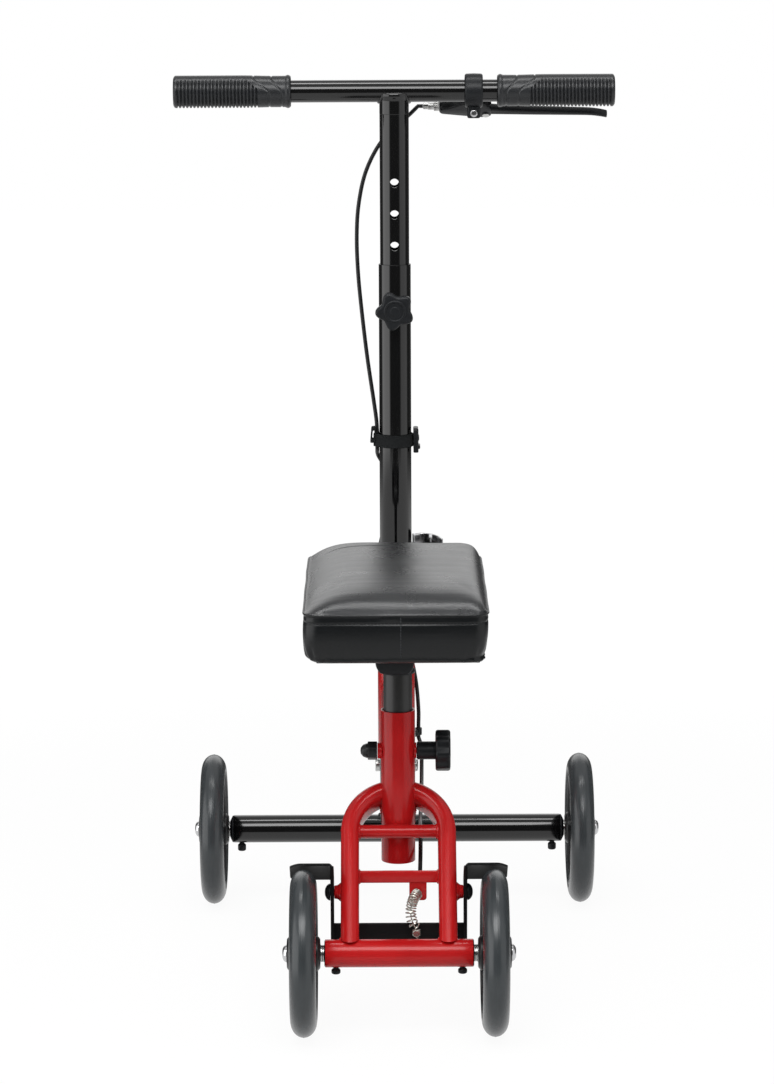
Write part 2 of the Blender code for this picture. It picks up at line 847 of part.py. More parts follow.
def make_steering():
    """The black weldment: front axle, stem, steerer and the fold ears, with its bolt and nut."""
    steer = axle_tube("steering_fork", front_y, front_axle_radius, front_axle_half, front_plug_flange,
                      front_set_screw_inset)
    stem_top = head_tube_bottom - cup_flange - 2 * gap
    collar_top = steer_collar_bottom + steering_collar
    inner = front_axle_radius - axle_wall
    root = axle_z + inner + 0.001
    stem = rod("stem", (0, front_y, root), (0, front_y, stem_top), stem_radius, fine)
    steerer = rod("steerer", (0, front_y, stem_top - 0.01), (0, front_y, collar_top - 0.002), steerer_radius, medium)
    collar = rod("collar", (0, front_y, steer_collar_bottom), (0, front_y, collar_top), 0.020, medium)
    ear_foot = collar_top - 0.004 - fold_pin_z
    outline = [(-knuckle_radius, ear_foot)]
    outline += [(knuckle_radius, ear_foot)]
    outline += circle(knuckle_radius, 8, (0.0, 0.0), 0.0, math.pi, closed=False)
    hole = circle(fold_pin_radius + gap, coarse)
    tools = [stem, steerer, collar]
    for side in (-1, 1):
        centre = (side * (ear_half_gap + ear_thickness / 2), front_y, fold_pin_z)
        tools.append(plate("ear", [outline, hole], ear_thickness, centre, (0, 1, 0), (0, 0, 1)))
    join(steer, *tools)
    bore_top = collar_top - 0.006
    side_end = stem_radius + 0.01
    cutters = [
        rod("stem_bore", (0, front_y, axle_z), (0, front_y, stem_top - 0.008), stem_radius - stem_wall, hidden),
        rod("steerer_bore", (0, front_y, axle_z), (0, front_y, bore_top), steerer_radius - steerer_wall, hidden),
        rod("bolt_hole", (-side_end, front_y, fork_bolt_z), (side_end, front_y, fork_bolt_z),
            fork_bolt_radius + gap, coarse),
    ]
    cut(steer, *cutters)
    dress(steer, black_paint)

    washer_face = stem_radius + gap
    head_face = washer_face + fork_washer
    head_top = head_face + fork_bolt_head_height
    nut_face = -(stem_radius + gap)
    profile = [
        (0.0, head_top),
        (fork_bolt_head_radius * 0.6, head_top),
        (fork_bolt_head_radius, head_face + 0.001),
        (fork_bolt_head_radius, head_face),
        (fork_bolt_head_radius + 0.001, head_face),
        (fork_bolt_head_radius + 0.001, washer_face),
        (fork_bolt_radius, washer_face),
        (fork_bolt_radius, nut_face - fork_nut_height * 0.6),
        (0.0, nut_face - fork_nut_height * 0.6),
    ]
    bolt = dress(turned("fork_bolt", profile, (0, front_y, fork_bolt_z), (1, 0, 0), coarse), bright_steel)
    nut = rod("fork_nut", (nut_face, front_y, fork_bolt_z), (nut_face - fork_nut_height, front_y, fork_bolt_z),
              0.0082, 6)
    nut_hole = rod("hole", (nut_face + 0.01, front_y, fork_bolt_z),
                   (nut_face - fork_nut_height - 0.01, front_y, fork_bolt_z), fork_bolt_radius + gap, coarse)
    cut(nut, nut_hole)
    dress(nut, bright_steel)

    outside = ear_half_gap + ear_thickness + gap
    pin_profile = [
        (0.0, outside + fold_pin_head),
        (0.0060, outside + fold_pin_head),
        (0.0080, outside + fold_pin_head * 0.5),
        (0.0080, outside),
        (fold_pin_radius, outside),
        (fold_pin_radius, -outside),
        (0.0080, -outside),
        (0.0080, -outside - fold_pin_head * 0.5),
        (0.0060, -outside - fold_pin_head),
        (0.0, -outside - fold_pin_head),
    ]
    pin = dress(turned("fold_pin", pin_profile, (0, front_y, fold_pin_z), (1, 0, 0), coarse), bright_steel)
    return [steer, bolt, nut, pin]


def make_column():
    """The folding column: tongue, outer tube, clamp collar with its bolt, strap and buckle."""
    half_tongue = ear_half_gap - gap
    outline = circle(knuckle_radius, 8, (0.0, 0.0), math.pi, math.pi, closed=False)
    outline += [(knuckle_radius, stub_rise + 0.001), (-knuckle_radius, stub_rise + 0.001)]
    hole = circle(fold_pin_radius + running + gap, coarse)
    middle = (0, front_y, fold_pin_z)
    tongue = plate("fold_tongue", [outline, hole], 2 * half_tongue, middle, (0, 1, 0), (0, 0, 1))
    join(tongue, rod("stub", (0, front_y, stub_bottom), (0, front_y, stub_top), stub_radius, fine))
    cut(
        tongue,
        rod("stub_bore", (0, front_y, stub_bottom + 0.006), (0, front_y, stub_top + 0.01),
            stub_radius - 0.004, hidden),
    )
    dress(tongue, black_paint)

    inner = column_radius - tube_wall
    rim = 0.0006
    profile = [
        (column_radius - rim, column_top),
        (column_radius, column_top - rim),
        (column_radius, column_bottom),
        (inner, column_bottom),
        (inner, column_top),
    ]
    tube = turned("column_tube", profile, (0, front_y, 0), (0, 0, 1), fine, ring=True)
    boss_face = column_radius + star_boss_length
    join(tube, rod("star_boss", (0, front_y - column_radius + tube_wall / 2, star_z),
                   (0, front_y - boss_face, star_z), star_boss_radius, fine))
    cut(
        tube,
        rod("star_hole", (0, front_y - boss_face - 0.01, star_z), (0, front_y - 0.012, star_z),
            clamp_screw_radius + gap, coarse),
        block("slit", (-slit_width / 2, front_y - column_radius - 0.005, column_bottom - 0.01),
              (slit_width / 2, front_y - 0.010, slit_top)),
    )
    dress(tube, black_paint)

    collar_low = column_bottom + 0.0005
    collar_in = column_radius + gap
    collar_out = collar_in + collar_wall
    ring = [
        (collar_out, collar_low + collar_height),
        (collar_out, collar_low),
        (collar_in, collar_low),
        (collar_in, collar_low + collar_height),
    ]
    collar = turned("clamp_collar", ring, (0, front_y, 0), (0, 0, 1), fine, ring=True)
    ear_out = slit_width / 2 + collar_ear_thickness
    ears = block("ears", (-ear_out, front_y + collar_in + 0.001, collar_low + 0.001),
                 (ear_out, front_y + collar_out + collar_ear_reach, collar_low + collar_height - 0.001))
    join(collar, ears)
    bolt_y = front_y + collar_out + collar_ear_reach * 0.5
    bolt_z = collar_low + collar_height / 2
    cut(
        collar,
        block("split", (-slit_width / 2, front_y + 0.010, collar_low - 0.01),
              (slit_width / 2, front_y + 0.06, collar_low + collar_height + 0.01)),
        rod("bolt_hole", (-0.03, bolt_y, bolt_z), (0.03, bolt_y, bolt_z), quick_bolt_radius + gap, coarse),
    )
    dress(collar, black_paint)

    pivot_x_quick = ear_out + gap + cam_radius
    nut_x = -(ear_out + gap)
    bolt = rod("quick_bolt", (nut_x - 0.004, bolt_y, bolt_z), (pivot_x_quick, bolt_y, bolt_z),
               quick_bolt_radius, coarse)
    barrel_half = quick_bolt_radius + gap + cam_cheek + 0.001
    join(
        bolt,
        rod("nut", (nut_x - 0.006, bolt_y, bolt_z), (nut_x, bolt_y, bolt_z), 0.0065, 6),
        rod("barrel", (pivot_x_quick, bolt_y, bolt_z - barrel_half), (pivot_x_quick, bolt_y, bolt_z + barrel_half),
            quick_barrel_radius, coarse),
    )
    dress(bolt, bright_steel)
    lever = make_quick_lever(Vector((pivot_x_quick, bolt_y, bolt_z)))

    strap_objects = make_strap()
    empty = axis_empty("quick_lever_axis", (pivot_x_quick, bolt_y, bolt_z))
    attach([lever], empty)
    print("quick lever pivot", round(pivot_x_quick, 5), round(bolt_y, 5), round(bolt_z, 5))
    return [tongue, tube, collar, bolt, empty, *strap_objects]


def make_quick_lever(pivot):
    """A cam lever that curls round the right of the collar: two cam cheeks and a curved blade."""
    cheek_low = quick_bolt_radius + gap
    blade_half = cheek_low + cam_cheek
    route = [(0.006, 0.002), (0.018, 0.006), (0.030, 0.000), (0.038, -0.014), (0.0425, -0.032)]
    mid = smooth_route([(x, y, 0.0) for x, y in route], 0.008)
    left = []
    right = []
    for index, point in enumerate(mid):
        ahead = mid[min(index + 1, len(mid) - 1)] - mid[max(index - 1, 0)]
        normal = Vector((-ahead.y, ahead.x, 0.0)).normalized()
        share = index / (len(mid) - 1)
        half = quick_lever_thickness / 2 * (1.5 - share * 0.6)
        left.append(tuple((point + normal * half).xy))
        right.append(tuple((point - normal * half).xy))
    outline = right + left[::-1]
    lever = plate("quick_lever", [outline], quick_blade_height, pivot + Vector((0, 0, quick_blade_lift)))
    cheeks = []
    for side in (-1, 1):
        low = pivot[2] + side * cheek_low
        high = pivot[2] + side * (blade_half - 0.0002)
        cheeks.append(rod("cheek", (pivot[0], pivot[1], low), (pivot[0], pivot[1], high), cam_radius, medium))
    join(lever, *cheeks)
    slot = block(
        "slot",
        (pivot[0] - cam_radius - 0.005, pivot[1] - cam_radius - 0.002, pivot[2] - cheek_low),
        (pivot[0] + cam_radius - 0.002, pivot[1] + cam_radius + 0.002, pivot[2] + cheek_low),
    )
    reach = blade_half + 0.01
    bore = rod("bore", (pivot[0], pivot[1], pivot[2] - reach), (pivot[0], pivot[1], pivot[2] + reach),
               quick_barrel_radius + running + gap, coarse)
    cut(lever, slot, bore)
    return dress(lever, bright_steel)


def hull_outline(extra, steps):
    """The line of a band pulled round the column and the cable beside it, extra metres away."""
    circles = [((0.0, 0.0), column_radius + extra), ((-cable_x, 0.0), cable_radius + extra)]
    points = []
    for step in range(steps):
        angle = 2 * math.pi * (step + 0.5) / steps
        ray = (math.cos(angle), math.sin(angle))
        centre, radius = max(circles, key=lambda c: c[0][0] * ray[0] + c[0][1] * ray[1] + c[1])
        points.append((centre[0] + radius * ray[0], centre[1] + radius * ray[1]))
    return points


def make_strap():
    """A hook-and-loop strap round the column and the cable, with its loop end and buckle."""
    middle = strap_bottom + strap_height / 2
    outer = hull_outline(gap + strap_thickness, 24)
    inner = hull_outline(gap, 24)
    band = plate("strap_band", [outer, inner], strap_height, (0, front_y, middle))
    loop_x = -(cable_x + cable_radius + gap + strap_thickness)
    tail = block("tail", (loop_x - 0.005, front_y - 0.006, middle - 0.002),
                 (loop_x + 0.001, front_y + 0.006, middle + 0.018), 0.0015)
    join(band, tail)
    dress(band, strap_web)
    outside = column_radius + gap + strap_thickness + gap
    buckle = block("strap_buckle", (outside, front_y - 0.011, middle - 0.016),
                   (outside + buckle_reach, front_y + 0.011, middle + 0.016), 0.0015)
    return [band, dress(buckle, black_plastic)]


def make_star_knob():
    """A five-lobed knob on a screw at the back of the column."""
    start = front_y - column_radius - star_boss_length - gap
    neck_end = start - star_neck
    outline = []
    lobe_turn = math.radians(114.4)
    steps = 30
    for step in range(steps):
        angle = 2 * math.pi * step / steps
        wave = math.cos(star_lobes * (angle - lobe_turn))
        outline.append((
            star_knob_radius * (0.80 + 0.20 * wave) * math.cos(angle),
            star_knob_radius * (0.80 + 0.20 * wave) * math.sin(angle),
        ))
    centre = (0, neck_end - star_knob_thickness / 2 + 0.0005, star_z)
    knob = plate("star_knob", [outline], star_knob_thickness, centre, (1, 0, 0), (0, 0, 1))
    cap_end = neck_end - star_knob_thickness - 0.0015
    screw_end = front_y - column_radius + tube_wall + 0.0001
    join(
        knob,
        rod("neck", (0, start, star_z), (0, neck_end - 0.003, star_z), 0.0095, coarse),
        rod("cap", (0, neck_end - 0.006, star_z), (0, cap_end, star_z), 0.0085, coarse),
        rod("screw", (0, screw_end, star_z), (0, start - 0.002, star_z), clamp_screw_radius, small),
    )
    return dress(knob, black_plastic)


def make_handlebar():
    """The black weldment of the inner tube and the handlebar, with its row of height holes."""
    bar_half = grip_outer_x - grip_end_wall - gap
    bar = rod("handlebar", (-bar_half, front_y, bar_z), (bar_half, front_y, bar_z), bar_radius, medium)
    collar_low = bar_z - bar_radius - bar_collar_height
    tools = [
        rod("inner", (0, front_y, inner_tube_bottom), (0, front_y, bar_z), inner_tube_radius, fine),
        rod("flare", (0, front_y, collar_low), (0, front_y, bar_z - 0.004), inner_tube_radius + 0.0002, fine, 0.0225),
    ]
    join(bar, *tools)
    cutters = [
        rod("bore", (0, front_y, inner_tube_bottom - 0.01), (0, front_y, bar_z - 0.004),
            inner_tube_radius - inner_wall, coarse),
        rod("bar_bore", (-bar_half - 0.01, front_y, bar_z), (bar_half + 0.01, front_y, bar_z),
            bar_radius - bar_wall, hidden),
    ]
    for index in range(-bar_lift_pitches, bar_drop_pitches + 1):
        hole_z = star_z + index * hole_pitch
        cutters.append(rod("hole", (0, front_y - 0.03, hole_z), (0, front_y + 0.03, hole_z), hole_radius, small))
    cut(bar, *cutters)
    return dress(bar, black_paint)


def make_grip(name, side):
    """A rubber grip with a flange, a waisted smooth part and a straight end."""
    bore = bar_radius + gap
    smooth_end = grip_inner_x + 0.054
    profile = [
        (0.0, grip_outer_x),
        (grip_radius - 0.004, grip_outer_x),
        (grip_radius, grip_outer_x - 0.0025),
        (grip_radius, smooth_end),
        (grip_radius - 0.0020, grip_inner_x + 0.030),
        (grip_radius - 0.0006, grip_inner_x + 0.008),
        (grip_radius - 0.0006, grip_inner_x + 0.001),
        (grip_radius - 0.0030, grip_inner_x),
        (bore, grip_inner_x),
        (bore, grip_outer_x - grip_end_wall),
        (0.0, grip_outer_x - grip_end_wall),
    ]
    return dress(turned(name, profile, (0, front_y, bar_z), (side, 0, 0), medium), grip_rubber)


def lever_frame():
    """Unit vectors of the brake lever's plane: across the bar's length, away from it, and its normal."""
    across = Vector((1.0, 0.0, 0.0))
    away = Vector((0.0, math.cos(lever_tilt), -math.sin(lever_tilt)))
    return across, away, across.cross(away)


def in_lever_plane(x, offset, lift=0.0):
    """A world point from its place in the brake lever's plane."""
    across, away, normal = lever_frame()
    return Vector((0, front_y, bar_z)) + across * x + away * offset + normal * lift


def make_brake_lever():
    """The lever perch on the bar, its clamp screw, the lever, its pin and the cable adjuster."""
    across, away, normal = lever_frame()
    band_in = bar_radius + gap
    band_out = band_in + band_wall
    band = [(band_out, band_outer_x), (band_out, band_inner_x), (band_in, band_inner_x), (band_in, band_outer_x)]
    perch = turned("brake_perch", band, (0, front_y, bar_z), (1, 0, 0), medium, ring=True)
    outline = [
        (perch_inner_x, cable_offset - 0.0065),
        (band_inner_x + 0.001, band_in + 0.003),
        (band_outer_x - 0.001, band_in + 0.003),
        (perch_outer_x, pivot_offset - 0.009),
        (perch_outer_x, pivot_offset + 0.007),
        (pivot_x - 0.004, pivot_offset + 0.0095),
        (perch_inner_x, cable_offset + 0.0065),
    ]
    body = plate("perch_body", [outline], 2 * perch_half_thickness, in_lever_plane(0, 0), across, away)
    ear = block("ear", (band_inner_x + 0.003, front_y - 0.008, bar_z - 0.034),
                (band_outer_x - 0.003, front_y + 0.004, bar_z - band_in - 0.002), 0.0015)
    join(perch, body, ear)
    slot_outline = [
        (pivot_x - 0.014, cable_offset - 0.006),
        (pivot_x - 0.009, pivot_offset - 0.012),
        (perch_outer_x + 0.01, pivot_offset - 0.020),
        (perch_outer_x + 0.01, pivot_offset + 0.02),
        (pivot_x - 0.014, pivot_offset + 0.02),
    ]
    slot = plate("slot", [slot_outline], 2 * lever_slot, in_lever_plane(0, 0), across, away)
    pin_reach = perch_half_thickness + 0.01
    pin_hole = rod("pin_hole", in_lever_plane(pivot_x, pivot_offset, -pin_reach),
                   in_lever_plane(pivot_x, pivot_offset, pin_reach), lever_pin_radius + gap, coarse)
    screw_x = (band_inner_x + band_outer_x) / 2
    screw_z = bar_z - 0.0270
    screw_hole = rod("screw_hole", (screw_x, front_y - 0.02, screw_z), (screw_x, front_y, screw_z),
                     0.0027, coarse)
    cut(perch, slot, pin_hole, screw_hole)
    dress(perch, black_plastic)

    head_face = front_y - 0.008 - gap
    screw = rod("clamp_screw", (screw_x, head_face - 0.0045, screw_z), (screw_x, head_face, screw_z), 0.0047, coarse)
    join(screw, rod("shank", (screw_x, head_face - 0.001, screw_z), (screw_x, front_y - 0.001, screw_z), 0.0023, coarse))
    dress(screw, bright_steel)

    eye = 0.0075
    lever_outline = [(pivot_x - eye * 0.6, pivot_offset - eye * 0.8)]
    lever_outline += [(pivot_x + 0.010, pivot_offset - 0.0055)]
    blade = [(0.022, -0.0035), (0.060, 0.0005), (0.100, 0.0035), (0.130, 0.0075)]
    for x, offset in blade:
        lever_outline.append((pivot_x + x, pivot_offset + offset))
    tip = (lever_tip_x, pivot_offset + 0.0135)
    lever_outline.append((tip[0] - 0.004, tip[1] - 0.0030))
    lever_outline.append((tip[0], tip[1] + 0.0010))
    lever_outline.append((tip[0] - 0.003, tip[1] + 0.0050))
    for x, offset in reversed(blade):
        lever_outline.append((pivot_x + x, pivot_offset + offset + lever_depth * (1.0 - x * 2.0)))
    lever_outline.append((pivot_x + 0.006, pivot_offset + 0.0075))
    lever_outline.append((pivot_x - eye * 0.7, pivot_offset + eye * 0.75))
    lever = plate("brake_lever", [lever_outline], 2 * lever_half_thickness, in_lever_plane(0, 0), across, away)
    add_bevel(lever, 0.0012)
    apply_modifiers(lever)
    cut(lever, rod("eye_hole", in_lever_plane(pivot_x, pivot_offset, -0.02),
                   in_lever_plane(pivot_x, pivot_offset, 0.02), lever_pin_radius + running + gap, coarse))
    dress(lever, black_plastic)

    pin_face = perch_half_thickness + gap
    pin_profile = [
        (0.0, pin_face + 0.002),
        (0.0045, pin_face + 0.002),
        (0.0052, pin_face + 0.001),
        (0.0052, pin_face),
        (lever_pin_radius, pin_face),
        (lever_pin_radius, -pin_face),
        (0.0045, -pin_face),
        (0.0045, -pin_face - 0.002),
        (0.0, -pin_face - 0.002),
    ]
    pin = turned("lever_pin", pin_profile, in_lever_plane(pivot_x, pivot_offset), normal, coarse)
    dress(pin, bright_steel)

    nut_face = perch_inner_x - gap
    barrel_end = nut_face - adjuster_nut_length - adjuster_length
    barrel = rod("barrel_adjuster", in_lever_plane(nut_face - adjuster_nut_length / 2, cable_offset),
                 in_lever_plane(barrel_end, cable_offset), adjuster_radius, coarse)
    join(barrel, rod("lock_nut", in_lever_plane(nut_face, cable_offset),
                     in_lever_plane(nut_face - adjuster_nut_length, cable_offset), adjuster_radius + 0.0015, coarse))
    dress(barrel, bright_steel)
    cable_end = in_lever_plane(barrel_end - gap, cable_offset)
    return [perch, screw, pin, barrel], lever, cable_end


def make_seat():
    """Seat post, socket block, base board and cushion."""
    inner = post_radius - post_wall
    profile = [(post_radius, post_top), (post_radius, post_bottom), (inner, post_bottom), (inner, post_top)]
    post = turned("seat_post", profile, (0, seat_y, 0), (0, 0, 1), fine, ring=True)
    slot_half = guide_pin_radius + 2 * gap
    slot_low = clamp_z - seat_lift - slot_half - gap
    slot_high = clamp_z + seat_drop + slot_half + gap
    cut(post, block("slot", (-post_radius - 0.005, seat_y - slot_half, slot_low),
                    (-inner + 0.006, seat_y + slot_half, slot_high)))
    dress(post, black_paint)

    width = socket_left + socket_right
    socket = block("seat_socket", (-socket_left, seat_y - socket_half_depth, socket_bottom),
                   (width - socket_left, seat_y + socket_half_depth, socket_top), 0.006, 2)
    apply_modifiers(socket)
    cut(socket, rod("socket_bore", (0, seat_y, socket_bottom - 0.01), (0, seat_y, post_top + gap),
                    post_radius + gap, fine))
    dress(socket, black_plastic)

    pad_back = rear_y - pad_rear
    half = pad_width / 2 - board_inset
    board = block("seat_board", (-half, pad_back + board_inset, board_bottom),
                  (half, pad_back + pad_length - board_inset, board_top), 0.0015)
    dress(board, dark_board)
    return [post, socket, board, make_cushion(pad_back)]


def make_cushion(pad_back):
    """The padded kneeling surface: crowned top, seamed edge and sides drawn in at the waist."""
    columns = 5
    rows = 8
    layers = 3
    bm = bmesh.new()
    bmesh.ops.create_cube(bm, size=2.0)
    for axis, count in ((0, columns), (1, rows), (2, layers)):
        for index in range(1, count):
            place = Vector((0.0, 0.0, 0.0))
            place[axis] = -1 + 2 * index / count
            normal = Vector((0.0, 0.0, 0.0))
            normal[axis] = 1.0
            geometry = bm.verts[:] + bm.edges[:] + bm.faces[:]
            bmesh.ops.bisect_plane(bm, geom=geometry, plane_co=place, plane_no=normal, dist=0.000001)
    half_x = pad_width / 2
    half_y = pad_length / 2
    height = pad_seam_z - pad_bottom
    crease = bm.edges.layers.float.new("crease_edge")
    for edge in bm.edges:
        ends = [vert.co.copy() for vert in edge.verts]
        rim = all(max(abs(end.x), abs(end.y)) > 0.999 for end in ends)
        if rim and all(abs(end.z) > 0.999 for end in ends):
            edge[crease] = 0.75
    for vert in bm.verts:
        u, v, w = vert.co
        x = half_x * u
        y = half_y * v
        waist = pad_waist * (1 - w * w)
        side_x = abs(u) > 0.999
        side_y = abs(v) > 0.999
        if side_x and side_y:
            inward = pad_corner_radius * (1 - math.sqrt(0.5))
            x -= math.copysign(inward, x)
            y -= math.copysign(inward, y)
        if side_x:
            x -= math.copysign(waist, x)
        if side_y:
            y -= math.copysign(waist, y)
        z = pad_bottom + height * (w + 1) / 2
        if w > 0.999:
            z += pad_crown * (1 - u ** 4) * (1 - v ** 4)
        elif w > -0.999:
            z += pad_crown * (w + 1) / 2 * (1 - u ** 4) * (1 - v ** 4)
        vert.co = (x, y, z)
    cushion = from_bmesh("seat_cushion", bm)
    cushion.location = (0, pad_back + half_y, 0)
    smoothing = cushion.modifiers.new("padding", "SUBSURF")
    smoothing.levels = 1
    smoothing.render_levels = 1
    return dress(cushion, pad_vinyl)


def make_seat_clamp():
    """The clamp knob on the right and the guide nut on the left of the seat tube."""
    start = seat_tube_radius + 0.0015 + gap
    stem_end = start + seat_knob_stem
    knob_end = stem_end + seat_knob_thickness
    screw_end = post_radius + gap
    profile = [
        (0.0, knob_end),
        (seat_knob_radius - 0.003, knob_end),
        (seat_knob_radius, knob_end - 0.003),
        (seat_knob_radius, stem_end + 0.002),
        (seat_knob_radius - 0.002, stem_end),
        (clamp_stem_radius, stem_end),
        (clamp_stem_radius, start + 0.001),
        (clamp_stem_radius - 0.0015, start),
        (clamp_screw_radius, start),
        (clamp_screw_radius, screw_end),
        (0.0, screw_end),
    ]
    knob = turned("seat_knob", profile, (0, seat_y, clamp_z), (1, 0, 0), medium)
    dress(knob, black_plastic)

    face = seat_tube_radius + clamp_boss_length + gap
    tip = post_radius - 0.0015
    nut_end = face + clamp_nut_length
    profile = [
        (0.0, nut_end + clamp_nut_dome),
        (clamp_stem_radius * 0.45, nut_end + clamp_nut_dome * 0.88),
        (clamp_stem_radius * 0.80, nut_end + clamp_nut_dome * 0.55),
        (clamp_stem_radius, nut_end),
        (clamp_stem_radius, face),
        (guide_pin_radius, face),
        (guide_pin_radius, tip),
        (0.0, tip),
    ]
    nut = dress(turned("seat_guide_nut", profile, (0, seat_y, clamp_z), (-1, 0, 0), coarse), black_plastic)
    return knob, nut


def make_brake():
    """The rear brake bracket with its two shoes, and the bolts that it turns on."""
    shoe_sweep = shoe_end - shoe_start
    shoe_inner = wheel_radius + shoe_gap
    start = math.pi / 2 - shoe_end
    wheel_centre = (rear_y, axle_z)
    outer_arc = circle(shoe_inner + shoe_thickness, shoe_steps, wheel_centre, start, shoe_sweep, closed=False)
    inner_arc = circle(shoe_inner, shoe_steps, wheel_centre, start + shoe_sweep, -shoe_sweep, closed=False)
    arm_inner = pivot_boss_end + gap
    arm_outer = arm_inner + arm_thickness
    plate_y = rear_y + plate_forward
    plate_low = plate_bottom
    made = block("brake_bracket", (-arm_outer + 0.001, plate_y - arm_thickness / 2, plate_low),
                 (arm_outer - 0.001, plate_y + arm_thickness / 2, plate_low + plate_height))
    outline = [
        (plate_y - arm_thickness, plate_low - 0.0005),
        (plate_y + 0.010, plate_low - 0.0005),
        (brake_pivot_y + 0.0105, brake_pivot_z - 0.010),
        *outer_arc,
        inner_arc[0],
        (brake_pivot_y - 0.011, brake_pivot_z + 0.006),
        (brake_pivot_y - 0.010, brake_pivot_z - 0.010),
    ]
    tools = []
    for side in (-1, 1):
        middle = side * (arm_inner + arm_outer) / 2
        tools.append(plate("arm", [outline], arm_thickness, (middle, 0, 0), (0, 1, 0), (0, 0, 1)))
        inner = arm_outer - arm_thickness / 2
        middle = side * (inner + shoe_outer_x) / 2
        tools.append(plate("shoe", [outer_arc + inner_arc], shoe_outer_x - inner, (middle, 0, 0), (0, 1, 0), (0, 0, 1)))
    join(made, *tools)
    over = 0.01
    corner_y = rear_y + shoe_inner * math.sin(shoe_start)
    slant = shoe_corner * 2
    for side in (-1, 1):
        corner = [
            (side * (shoe_outer_x - shoe_corner), corner_y),
            (side * (shoe_outer_x + shoe_corner), corner_y + 2 * slant),
            (side * (shoe_outer_x + shoe_corner), corner_y - over),
            (side * (shoe_outer_x - shoe_corner), corner_y - over),
        ]
        cut(made, plate("corner", [corner], shoe_inner, (0, 0, axle_z + shoe_inner)))
    hole = pivot_bolt_radius + running + gap
    holes = []
    for side in (-1, 1):
        start = (side * (arm_inner - 0.01), brake_pivot_y, brake_pivot_z)
        end = (side * (arm_outer + 0.01), brake_pivot_y, brake_pivot_z)
        holes.append(rod("pivot_hole", start, end, hole, coarse))
    anchor_mid = anchor_z - anchor_height / 2
    holes.append(rod("anchor_hole", (anchor_x, plate_y - 0.01, anchor_mid), (anchor_x, plate_y + 0.01, anchor_mid),
                     0.0027, coarse))
    cut(made, *holes)
    dress(made, black_paint)

    bolts = []
    for name, side in (("brake_pivot_left", -1), ("brake_pivot_right", 1)):
        face = arm_outer + gap
        end = (leg_spacing + leg_width) / 2
        profile = [
            (0.0, face + pivot_cap_height),
            (pivot_cap_radius * 0.5, face + pivot_cap_height * 0.9),
            (pivot_cap_radius * 0.87, face + pivot_cap_height * 0.5),
            (pivot_cap_radius, face + 0.001),
            (pivot_cap_radius, face),
            (pivot_bolt_radius, face),
            (pivot_bolt_radius, end + gap),
            (0.0, end + gap),
        ]
        place = (0, brake_pivot_y, brake_pivot_z)
        bolts.append(dress(turned(name, profile, place, (side, 0, 0), coarse), black_plastic))
    return made, bolts


def make_brake_pull():
    """The housing ferrule, inner wire, spring and wire anchor between the tab and the bracket."""
    tab_hole_z = crossbar_z - crossbar_height / 2 - tab_hole_drop
    front_face = crossbar_y + tab_thickness / 2 + gap
    rear_face = crossbar_y - tab_thickness / 2 - gap
    ferrule_profile = [
        (ferrule_radius - 0.0005, front_face + ferrule_length),
        (ferrule_radius, front_face + ferrule_length - 0.0005),
        (ferrule_radius, front_face),
        (wire_radius + gap, front_face),
        (wire_radius + gap, front_face + ferrule_length),
    ]
    ferrule = turned("cable_ferrule", ferrule_profile, (tab_x, 0, tab_hole_z), (0, 1, 0), coarse, ring=True)
    dress(ferrule, black_plastic)

    plate_y = rear_y + plate_forward
    anchor_y = plate_y - arm_thickness / 2 - spring_radius - spring_wire_radius - 2 * gap
    anchor_low = anchor_z - anchor_height
    anchor = rod("wire_anchor", (anchor_x, anchor_y, anchor_low), (anchor_x, anchor_y, anchor_z), anchor_radius, coarse)
    anchor_mid = anchor_z - anchor_height / 2
    screw_end = plate_y + arm_thickness / 2 + 0.003
    join(
        anchor,
        rod("screw", (anchor_x, anchor_y, anchor_mid), (anchor_x, screw_end, anchor_mid), 0.0023, coarse),
        rod("wire_tail", (anchor_x, anchor_y, anchor_low - 0.007), (anchor_x, anchor_y, anchor_low + 0.001),
            wire_radius, small),
    )
    dress(anchor, bright_steel)

    start = Vector((tab_x, rear_face, tab_hole_z))
    end = Vector((anchor_x, anchor_y, anchor_z + gap))
    first_pull = start + Vector((-0.007, -0.024, 0.001))
    last_pull = end + Vector((-0.012, -0.001, 0.016))

    def middle_line(t):
        """The line that the wire follows and the spring winds round."""
        s = 1 - t
        return s ** 3 * start + 3 * s * s * t * first_pull + 3 * s * t * t * last_pull + t ** 3 * end

    wire_start = Vector((tab_x, front_face + ferrule_length - 0.001, tab_hole_z))
    route = [wire_start] + [middle_line(index / 14) for index in range(15)]
    inner = wire("brake_wire", route, wire_radius, 1)
    dress(inner, bright_steel)

    points = []
    total = spring_curls * curl_points
    for index in range(total + 1):
        t = 0.035 + 0.925 * index / total
        centre = middle_line(t)
        ahead = (middle_line(t + 0.005) - middle_line(t - 0.005)).normalized()
        side = ahead.cross(Vector((1, 0, 0))).normalized()
        other = ahead.cross(side)
        angle = 2 * math.pi * index / curl_points
        points.append(centre + (side * math.cos(angle) + other * math.sin(angle)) * spring_radius)
    least = 1.0
    for index, point in enumerate(points):
        for later in points[index + curl_points // 2:]:
            least = min(least, (later - point).length - 2 * spring_wire_radius)
    print("least gap of the brake spring to itself", round(least * 1000, 2), "mm")
    spring = wire("brake_spring", points, spring_wire_radius, 1)
    dress(spring, bright_steel)
    cable_end = Vector((tab_x, front_face + ferrule_length + gap, tab_hole_z))
    return ferrule, anchor, inner, spring, cable_end


